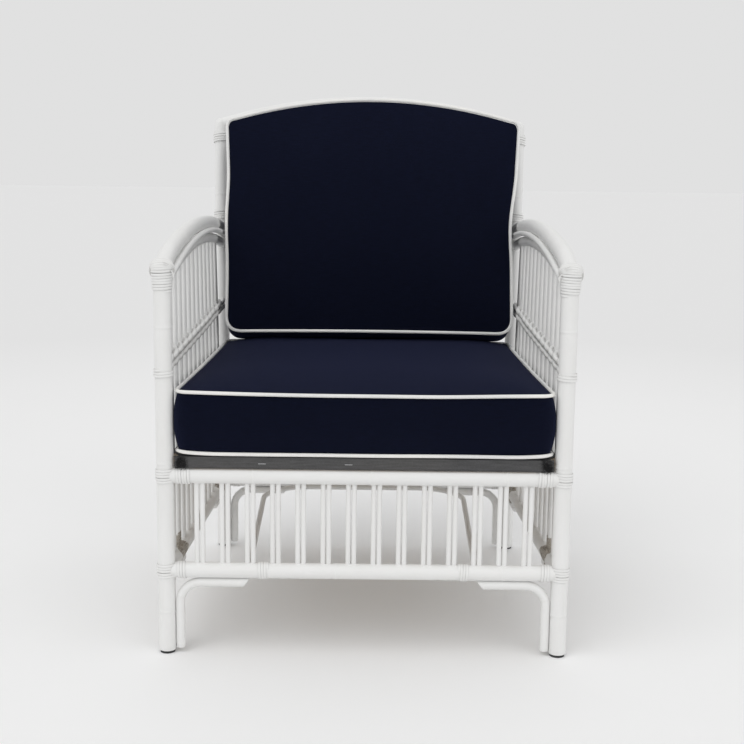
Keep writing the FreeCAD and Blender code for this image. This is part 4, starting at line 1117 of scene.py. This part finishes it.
def deck_cloth():
    """The panel's cloth: flat on top, folded down over the panel's four edges.

    With s the signed distance past an edge of the top, a point at s > 0 drops by s, so the
    sheet is z = top - max(s, 0) and stays over the edge across. Its corners are cut out
    round the posts and between the flaps.
    """
    front, back = DECK_FRONT, DECK_BACK
    finer, ends = 44, 0.88
    fold = np.array([0.0, 0.15, 0.5, 0.85, 1.0]) * DECK_DROP
    v = np.concatenate([front - fold[::-1], np.linspace(front, front + finer, 12)[1:-1],
                        np.linspace(front + finer, back, 54)[:-1], back + fold])
    u = np.concatenate([-1 - fold[::-1] / DECK_WIDE_UV, np.linspace(-1, -ends, 9)[1:-1],
                        np.linspace(-ends, ends, 56), np.linspace(ends, 1, 9)[1:-1],
                        1 + fold / DECK_WIDE_UV])
    uu, vv = np.meshgrid(u, v, indexing="xy")
    past_side = np.maximum(np.abs(uu) - 1, 0) * DECK_WIDE_UV
    past_end = np.maximum(np.maximum(front - vv, vv - back), 0)
    y = np.clip(vv, front, back)
    x = np.clip(uu, -1, 1) * (DECK_HALF - (FRONT_HALF - BACK_HALF) / POST_DEPTH * y)
    points = np.stack([x, y, PANEL_TOP - 0.4 - past_side - past_end], axis=-1).reshape(-1, 3)
    faces = grid_faces(len(v), len(u))[0]
    centre = points[faces].mean(axis=1)
    keep = ~((past_side.ravel()[faces].min(axis=1) > 0) & (past_end.ravel()[faces].min(axis=1) > 0))
    for post_x, post_y in ((FRONT_HALF, 0.0), (BACK_HALF, POST_DEPTH)):
        keep &= np.hypot(np.abs(centre[:, 0]) - post_x, centre[:, 1] - post_y) > DECK_CORNER
    uvs = np.stack([uu * DECK_WIDE_UV, vv], axis=-1).reshape(-1, 2)[faces] * MM
    used = np.unique(faces[keep])
    order = np.full(len(points), -1)
    order[used] = np.arange(len(used))
    return Part(points[used], order[faces[keep]], uvs[keep])


def frayed_shade_threads():
    """Loose threads at the front flap's two ends, near-black as painted shade: short drooping hairs, seeded.

    Each runs straight from start to end, bowed by 4 b t (1 - t), and thins to half.
    """
    draws = np.random.default_rng(7)
    t = np.linspace(0, 1, 6)[:, None]
    parts = []
    for side in (-1, 1):
        for _ in range(150):
            start = xyz(side * draws.uniform(285, 300), -10.2, draws.uniform(312.5, 330.5))
            end = start + xyz(side * draws.uniform(-7, 9), draws.uniform(-2.2, 0.2), draws.uniform(-6, 5))
            bow = xyz(0, draws.uniform(-1.5, 0.3), draws.uniform(-3, 2))
            path = start + (end - start) * t + bow * 4 * t * (1 - t)
            path[:, 2] = np.minimum(path[:, 2], PANEL_TOP + 0.6)
            parts.append(swept(path, UP, ring(0.28, 5), np.linspace(1, 0.5, 6)))
    return joined(parts)


class ARMCHAIR_OT_deck_cloth(bpy.types.Operator):
    """Stretches the grey cloth over the seat panel, with near-black frayed ends in front as painted shade"""
    bl_idname = "armchair.deck_cloth"
    bl_label = "Deck cloth"

    def execute(self, context):
        cloth = cloth_material("deck lining", (0.080, 0.080, 0.082), 620.0, depth=0.0003, contrast=0.35)
        part = deck_cloth()
        sheet = piece("seat_deck_cloth", part, cloth, ["seat_panel_cloth"])
        solid = sheet.modifiers.new("cloth thickness", "SOLIDIFY")
        solid.thickness, solid.offset = 0.0008, 0.0
        # Near-black threads: painted shade at the flap's ends.
        threads = cloth_material("shade-black frayed thread", (0.018, 0.018, 0.019), 900.0)
        fray = piece("seat_deck_fray_shade", frayed_shade_threads(), threads)
        return {"FINISHED"}


def seam_loop(corners, cuts, bows, counts):
    """A seam's outline: four bowed sides between rounded corners, as four runs of points.

    A side with ends p and q and bow b is p + (q - p) t + 4 b t (1 - t) out, and a corner is
    the quadratic curve through it. Each run goes from one corner's middle to the next.
    """
    corners = np.asarray(corners, float)
    sides, ends = [], []
    for index in range(4):
        start, end = corners[index], corners[(index + 1) % 4]
        along = unit(end - start)
        first, last = start + along * cuts[index], end - along * cuts[(index + 1) % 4]
        outward = np.array([along[1], -along[0]])
        t = np.linspace(0, 1, 200)[:, None]
        sides.append(first + (last - first) * t + outward * bows[index] * 4 * t * (1 - t))
    t = np.linspace(0, 1, 41)[:, None]
    for index in range(4):
        before, after, apex = sides[index - 1][-1], sides[index][0], corners[index]
        ends.append((1 - t) ** 2 * before + 2 * t * (1 - t) * apex + t ** 2 * after)
    runs = []
    for index in range(4):
        dense = np.concatenate([ends[index][20:], sides[index][1:-1], ends[(index + 1) % 4][:21]])
        along = lengths_along(dense)
        places = np.linspace(0, along[-1], counts[index % 2] + 1)
        runs.append(np.stack([np.interp(places, along, dense[:, axis]) for axis in (0, 1)], axis=1))
    return runs


def loop_points(runs):
    """The four runs as one closed loop without repeated corners."""
    return np.concatenate([run[:-1] for run in runs])


def loop_outward(loop):
    """Unit vectors that point out of a closed loop in its plane."""
    along = unit(np.roll(loop, -1, axis=0) - np.roll(loop, 1, axis=0))
    return np.stack([along[:, 1], -along[:, 0]], axis=1)


def panel_grid(runs):
    """A panel inside a seam: the blend of its four sides less the blend of its corners."""
    low, right, high, left = runs[0], runs[1], runs[2][::-1], runs[3][::-1]
    u = np.linspace(0, 1, len(low))[:, None, None]
    v = np.linspace(0, 1, len(right))[None, :, None]
    across = low[:, None] * (1 - v) + high[:, None] * v
    upward = left[None] * (1 - u) + right[None] * u
    corners = ((low[0] * (1 - u) + low[-1] * u) * (1 - v)) + ((high[0] * (1 - u) + high[-1] * u) * v)
    return across + upward - corners


def crown(u, v, size, rounding):
    """Share of a panel's crown at u, v: g(u) g(v), with g = 1 - (1 - d / D)^2.6 within D of an edge.

    D has one value for both edges across and one each for the near and the far edge.
    """
    across = np.minimum(u, 1 - u) * size[0] / rounding[0]
    along = np.minimum(v * size[1] / rounding[1], (1 - v) * size[1] / rounding[2])
    return (1 - np.clip(1 - across, 0, 1) ** 2.6) * (1 - np.clip(1 - along, 0, 1) ** 2.6)


def boxed_cushion(low_runs, high_runs, levels, crowns, size, rounding, bulge, rows):
    """A boxed cushion: a low panel, boxing and a high panel, sharing their seams' points.

    The boxing at share t of its height is the blend of the two seams, moved outwards by
    bulge * sin(pi t)^0.8. Gives back the part and the indices of both seams' points.
    """
    wide, deep = len(low_runs[0]), len(low_runs[1])
    share = crown(np.linspace(0, 1, wide)[:, None], np.linspace(0, 1, deep)[None], size, rounding)
    panels = []
    for runs, level, rise in ((low_runs, levels[0], -crowns[0]), (high_runs, levels[1], crowns[1])):
        heights = (level + rise * share)[..., None]
        panels.append(np.concatenate([panel_grid(runs), heights], axis=-1).reshape(-1, 3))
    index = np.arange(wide * deep).reshape(wide, deep)
    edge = np.concatenate([index[:-1, 0], index[-1, :-1], index[:0:-1, -1], index[0, :0:-1]])
    low_loop, high_loop = loop_points(low_runs), loop_points(high_runs)
    outward = loop_outward(low_loop)
    share = (np.arange(1, rows) / rows)[:, None, None]
    wall = low_loop * (1 - share) + high_loop * share
    wall = wall + outward * bulge(outward)[:, None] * np.sin(math.pi * share) ** 0.8
    heights = np.broadcast_to(levels[0] + (levels[1] - levels[0]) * share, wall.shape[:2] + (1,))
    points = np.concatenate([*panels, np.concatenate([wall, heights], axis=-1).reshape(-1, 3)])
    base, around = wide * deep, len(edge)
    walls = 2 * base + np.arange((rows - 1) * around).reshape(rows - 1, around)
    strip = np.vstack([edge, walls, edge + base])
    top = grid_faces(wide, deep)[0]
    faces, i, j = grid_faces(rows + 1, around, wrap_columns=True)
    quads = np.concatenate([top, top[:, ::-1] + base, strip.ravel()[faces]])
    flat = panels[0][:, :2] * MM
    along = lengths_along(np.append(low_loop, low_loop[:1], axis=0))
    upward = size[2] / rows * np.arange(rows + 1)
    uvs = np.concatenate([flat[top], flat[top[:, ::-1]], corner_uvs(along, upward, i, j)])
    return Part(points, quads, uvs), np.concatenate([edge, edge + base])


def cloth_swell(name, points, quads, pinned, cap):
    """Blows a closed cloth form up between its sewn seams and gives back the moved points.

    Cloth with gravity off and pressure inside is stepped from frame 1 to 20, its seams held.
    A point that moves by d is then kept to cap * tanh(d / cap).
    """
    mesh = bpy.data.meshes.new(name)
    mesh.from_pydata(points.tolist(), [], quads.tolist())
    form = add_object(name, mesh)
    form.vertex_groups.new(name="seams").add(pinned.tolist(), 1.0, "REPLACE")
    cloth = form.modifiers.new("swell", "CLOTH")
    canvas = cloth.settings
    canvas.quality = 6
    canvas.mass = 0.3
    canvas.tension_stiffness = canvas.compression_stiffness = 25
    canvas.bending_stiffness = 1.5
    canvas.vertex_group_mass = "seams"
    canvas.use_pressure = True
    canvas.uniform_pressure_force = 4.0
    canvas.effector_weights.gravity = 0
    cloth.collision_settings.use_collision = False
    cloth.point_cache.frame_start, cloth.point_cache.frame_end = 1, SWELL_STEPS
    scene = bpy.context.scene
    for step in range(1, SWELL_STEPS + 1):
        scene.frame_set(step)
    shaped = form.evaluated_get(bpy.context.evaluated_depsgraph_get())
    moved = np.zeros(len(points) * 3)
    shaped.data.vertices.foreach_get("co", moved)
    moved = moved.reshape(-1, 3) - points
    bpy.data.objects.remove(form)
    bpy.data.meshes.remove(mesh)
    scene.frame_set(1)
    far = np.linalg.norm(moved, axis=1, keepdims=True)
    return points + moved * cap * np.tanh(far / cap) / np.maximum(far, 1e-9)


def piping(loop, place, radius, seed):
    """A piping cord along a closed loop, whose height wavers by up to about 0.6 mm."""
    draws = np.random.default_rng(seed)
    turn = np.linspace(0, 2 * math.pi, len(loop), endpoint=False)
    waver = sum(draws.uniform(-0.16, 0.16) * np.sin(k * turn + draws.uniform(0, 6.28))
                for k in range(3, 14))
    part = swept(loop + UP * waver[:, None], UP, ring(radius, 16), closed=True)
    part.points = place(part.points)
    return part


def seam_path(loop, level, outwards):
    """A seam's loop in three dimensions, moved outwards in its plane."""
    line = loop + loop_outward(loop) * outwards
    return np.concatenate([line, np.broadcast_to(level, (len(line), 1))], axis=1)


def seat_runs(_level):
    """The seat cushion's seam at either level: narrower behind, its sides a little drawn in."""
    wide, narrow = 298.6, 280.4
    return seam_loop([(-wide, SEAT_FRONT), (wide, SEAT_FRONT), (narrow, SEAT_BACK), (-narrow, SEAT_BACK)],
                     [18.0] * 4, [-1.5, -2.5, -2.5, -2.5], (100, 96))


def back_runs(forward):
    """The back cushion's seam at a distance forward: wider above, with an arched top."""
    widening, post_gap, arch_rise, corner_room = 3.5, 25.1, 43.0, 22.0
    share = (forward - BACK_SEAMS[0]) / (BACK_SEAMS[1] - BACK_SEAMS[0])
    low, high = BACK_BOTTOM, BACK_CORNER_HEIGHT
    low_x, high_x = (BACK_HALF + up * math.tan(SPLAY) - post_gap + widening * share for up in (low, high))
    arch = arch_rise * (high_x - corner_room) / BACK_HALF
    return seam_loop([(-low_x, low), (low_x, low), (high_x, high), (-high_x, high)],
                     [26.0, 26.0, 14.0, 14.0], [-2.0, -3.5, arch, -3.0], (96, 74))


def identity(points):
    """The seat cushion is made where it lies."""
    return points


def make_cushion(name, runs, levels, crowns, size, rounding, bulge, rows, place, limit, used, seams):
    """One cushion: its sewn cover, the filling inside and a piping along each seam.

    Runs gives a seam at a level, limit keeps the cover off its neighbours, used is where wear
    has moved the pipings, place takes points to the chair's plan and seams are the pipings'
    words and seeds.
    """
    cloth, cord, foam = cushion_materials()
    both_runs = [runs(level) for level in levels]
    cover, pinned = boxed_cushion(*both_runs, levels, crowns, size, rounding, bulge, rows)
    plain = cover.points
    cover.points = cloth_swell(name, plain * MM, cover.quads, pinned, SWELL_CAP * MM) / MM
    cover.points = place(limit(cover.points))
    cushion = piece(name + "_cover_sewn", cover, cloth, [name + "_cover"], name, 80)
    finer = cushion.modifiers.new("finer", "SUBSURF")
    finer.levels = finer.render_levels = 1
    finer.uv_smooth = "PRESERVE_BOUNDARIES"
    middle = plain.mean(axis=0)
    inner = Part(place(middle + (plain - middle) * FILLING_SHARE), cover.quads, cover.uvs)
    piece(name + "_filling", inner, foam, [name + "_foam"], name)
    radius = bpy.context.scene.armchair_cushions.piping_diameter / MM / 2
    for seam_runs, level, (seam, seed) in zip(both_runs, levels, seams):
        line = seam_path(loop_points(seam_runs), level, CORD_OUT)
        part = piping(line, lambda points: place(used(points)), radius, seed)
        piece(name + "_" + seam + "_cord", part, cord, [name + "_" + seam + "_piping"], name)


def seat_crown_height(points):
    """Top of the seat cushion near its back, as its crowned panel has it."""
    u = (points[:, 0] / 290 + 1) / 2
    v = (points[:, 1] - SEAT_FRONT) / SEAT_SIZE[1]
    rise = bpy.context.scene.armchair_cushions.seat_crown / MM
    return SEAT_SEAMS[1] + rise * crown(np.clip(u, 0, 1), np.clip(v, 0, 1), SEAT_SIZE, SEAT_ROUNDING)


def worn_seat(points):
    """A sat-on front edge: its top sags towards the middle and its lower corners curl up.

    With t the share of the boxing's height and x, y from the front edge's middle, z changes by
    -4.5 t (1 - (x / 300)^2) exp(-y / 90) + 4 (1 - t) max(|x| - 225, 0)^2 / 75^2 exp(-y / 45).
    """
    x, y, z = points.T
    t = np.clip((z - SEAT_SEAMS[0]) / (SEAT_SEAMS[1] - SEAT_SEAMS[0]), 0, 1)
    behind = np.maximum(y - SEAT_FRONT, 0)
    sag = 4.5 * t * np.clip(1 - (x / 300) ** 2, 0, 1) * np.exp(-behind / 90)
    curl = 4.0 * (1 - t) * (np.maximum(np.abs(x) - 225, 0) / 75) ** 2 * np.exp(-behind / 45)
    return points + UP * (curl - sag)[:, None]


def seat_limits(points):
    """Keeps the seat cushion on its deck, between the arms and under the back cushion."""
    front_room, back_room, side_room, post_room, under_back = -17.5, POST_DEPTH - 16, 313.5, 15.2, 440
    x, y, z = worn_seat(points).T
    z = np.maximum(z, PANEL_TOP + 0.5)
    side = side_room - (FRONT_HALF - BACK_HALF) * np.maximum(y, 0) / POST_DEPTH
    x = np.clip(x, -side, side)
    y = np.clip(y, front_room, back_room)
    from_post = np.abs(x) - FRONT_HALF
    apart = np.maximum(post_room / np.maximum(np.hypot(from_post, y), 0.1), 1)
    points = np.stack([np.sign(x) * (FRONT_HALF + from_post * apart), y * apart, z], axis=1)
    lower = np.minimum(z, seat_crown_height(points))
    points[:, 2] = np.where(points[:, 1] > under_back, lower, z)
    return points


def pinched_back(points):
    """The back cushion's used shape: pinched by one arm, its front pushed aside and upwards.

    With u, v, f across, up and forward and s the share of f from 14 to 130: u loses
    2.5 exp(-((v - 360) / 70)^2) near its right edge and gains s (3.5 + 3.8 h - 2
    exp(-((v - 345) / 45)^2)), h easing from 0 to 1 over v from 370 to 460, and v gains
    8.8 s (v - 152) / 401.
    """
    across, up, forward = points.T
    rear = 14
    near_edge = np.clip((across - 120) / 150, 0, 1)
    share = np.clip((forward - rear) / (BACK_SEAMS[1] - rear), 0, 1.1)
    high = np.clip((up - 370) / 90, 0, 1)
    aside = 3.5 + 3.8 * high * high * (3 - 2 * high) - 2 * np.exp(-((up - 345) / 45) ** 2)
    pinch = 2.5 * near_edge * np.exp(-((up - 360) / 70) ** 2)
    lift = 8.8 * share * np.clip((up - BACK_BOTTOM) / (BACK_CORNER_HEIGHT - BACK_BOTTOM), 0, 1.2)
    return points + np.stack([share * aside - pinch, lift, np.zeros_like(lift)], axis=1)


def back_limits(points):
    """Keeps the back cushion off its spindles and on top of the seat cushion."""
    points = pinched_back(points)
    points[:, 2] = np.maximum(points[:, 2], SPINDLE_RADIUS + 0.6)
    world = back_plane(points)
    lift = np.maximum(seat_crown_height(world) + 0.6 - world[:, 2], 0)
    points[:, 1] += lift / math.cos(RAKE)
    return points


def cushion_materials():
    settings = bpy.context.scene.armchair_cushions
    cloth = shared_material("navy canvas", cloth_material, "navy canvas", tuple(settings.cloth),
                            1 / settings.thread_pitch, sheen=0.09, shine=0.06, depth=0.0003, contrast=0.42,
                            sunned=True)
    cord = shared_material("piping cotton", cloth_material, "piping cotton", tuple(settings.piping), 1250.0,
                           turn=math.radians(45), contrast=0.05)
    foam = shared_material("foam", foam_material)
    return cloth, cord, foam


class ARMCHAIR_OT_seat_cushion(bpy.types.Operator):
    """Sews, swells and pipes the seat cushion"""
    bl_idname = "armchair.seat_cushion"
    bl_label = "Seat cushion"

    def execute(self, context):
        top = context.scene.armchair_cushions.seat_crown / MM
        make_cushion("seat_cushion", seat_runs, SEAT_SEAMS, (4.3, top), SEAT_SIZE, SEAT_ROUNDING,
                     lambda outward: np.full(len(outward), SEAT_BULGE), 16, identity, seat_limits,
                     worn_seat, (("low", 201), ("top", 202)))
        return {"FINISHED"}


class ARMCHAIR_OT_back_cushion(bpy.types.Operator):
    """Sews, swells and pipes the back cushion"""
    bl_idname = "armchair.back_cushion"
    bl_label = "Back cushion"

    def execute(self, context):
        front = context.scene.armchair_cushions.back_crown / MM
        make_cushion("back_cushion", back_runs, BACK_SEAMS, (4.5, front), BACK_SIZE, BACK_ROUNDING,
                     lambda outward: BACK_BULGE + BACK_LOWER_BULGE * np.clip(-outward[:, 1], 0, 1), 18,
                     back_plane, back_limits, pinched_back, (("rear", 203), ("front", 204)))
        return {"FINISHED"}


def soft_sun(name, place, strength, spread):
    """A broad distant light that shines from a place towards the chair."""
    lamp = bpy.data.lights.new(name, "SUN")
    lamp.energy, lamp.angle = strength, math.radians(spread)
    towards = -unit(np.array(place, float))
    side = unit(np.cross(towards, UP))
    add_object(name, lamp).matrix_world = matrix_of(side, np.cross(side, towards), -towards, place)


def matrix_of(x_axis, y_axis, z_axis, place):
    """The matrix whose columns are three axes and a place."""
    columns = np.eye(4)
    columns[:3, 0], columns[:3, 1], columns[:3, 2], columns[:3, 3] = x_axis, y_axis, z_axis, place
    return Matrix(columns.tolist())


class ARMCHAIR_OT_stage(bpy.types.Operator):
    """Lays the pale floor, lights it softly and sets the camera at the photograph's angle"""
    bl_idname = "armchair.stage"
    bl_label = "Stage"

    def execute(self, context):
        settings = context.scene.armchair_stage
        count, half = 41, 30000.0
        side = np.linspace(-1, 1, count) * half
        x, y = np.meshgrid(side, side, indexing="ij")
        faces = grid_faces(count, count)[0]
        points = np.stack([x, y, np.zeros_like(x)], axis=-1).reshape(-1, 3) * MM
        mesh = bpy.data.meshes.new("floor")
        mesh.from_pydata(points.tolist(), [], faces[:, ::-1].tolist())
        mesh.materials.append(floor_material())
        add_object("floor", mesh)
        world = context.scene.world = bpy.data.worlds.new("studio")
        world.use_nodes = True
        background = world.node_tree.nodes["Background"].inputs
        background["Color"].default_value = (*settings.backdrop, 1)
        background["Strength"].default_value = 1.0
        context.scene.view_settings.view_transform = "Standard"
        soft_sun("key", (-1.6, -1.9, 3.2), 0.62, 50.0)
        soft_sun("fill", (2.2, -2.4, 1.6), 0.3, 60.0)
        camera = bpy.data.cameras.new("camera")
        camera.sensor_width, camera.lens = 36.0, settings.lens
        camera.clip_start, camera.clip_end = 0.05, 200.0
        pitch, roll = settings.camera_pitch, settings.camera_roll
        ahead = xyz(0, math.cos(pitch), -math.sin(pitch))
        above = np.cross(RIGHT, ahead)
        across = math.cos(roll) * RIGHT + math.sin(roll) * above
        upward = -math.sin(roll) * RIGHT + math.cos(roll) * above
        made = context.scene.camera = add_object("camera", camera)
        made.matrix_world = matrix_of(across, upward, -ahead, settings.camera_place)
        return {"FINISHED"}


SETTINGS = (("armchair_poles", PoleSettings), ("armchair_cane", CaneSettings),
            ("armchair_cushions", CushionSettings), ("armchair_stage", StageSettings))
STEPS = (ARMCHAIR_OT_posts, ARMCHAIR_OT_rails, ARMCHAIR_OT_arms, ARMCHAIR_OT_under_seat, ARMCHAIR_OT_spindles,
         ARMCHAIR_OT_lashings, ARMCHAIR_OT_bands, ARMCHAIR_OT_fittings, ARMCHAIR_OT_deck_cloth,
         ARMCHAIR_OT_seat_cushion, ARMCHAIR_OT_back_cushion, ARMCHAIR_OT_stage)


class ARMCHAIR_PT_sidebar(bpy.types.Panel):
    """Lists the armchair's steps and sizes"""
    bl_idname = "ARMCHAIR_PT_sidebar"
    bl_label = "Rattan armchair"
    bl_space_type = "VIEW_3D"
    bl_region_type = "UI"
    bl_category = "Armchair"

    def draw(self, context):
        for step in STEPS:
            self.layout.operator(step.bl_idname)
        for name, group in SETTINGS:
            box = self.layout.box()
            for key in group.__annotations__:
                box.prop(getattr(context.scene, name), key)


def register():
    for name, group in SETTINGS:
        bpy.utils.register_class(group)
        setattr(bpy.types.Scene, name, bpy.props.PointerProperty(type=group))
    for made in (*STEPS, ARMCHAIR_PT_sidebar):
        bpy.utils.register_class(made)


def unregister():
    for made in (ARMCHAIR_PT_sidebar, *reversed(STEPS)):
        bpy.utils.unregister_class(made)
    for name, group in reversed(SETTINGS):
        delattr(bpy.types.Scene, name)
        bpy.utils.unregister_class(group)


def main():
    register()
    for step in STEPS:
        group, name = step.bl_idname.split(".")
        getattr(getattr(bpy.ops, group), name)()


if __name__ == "__main__":
    main()
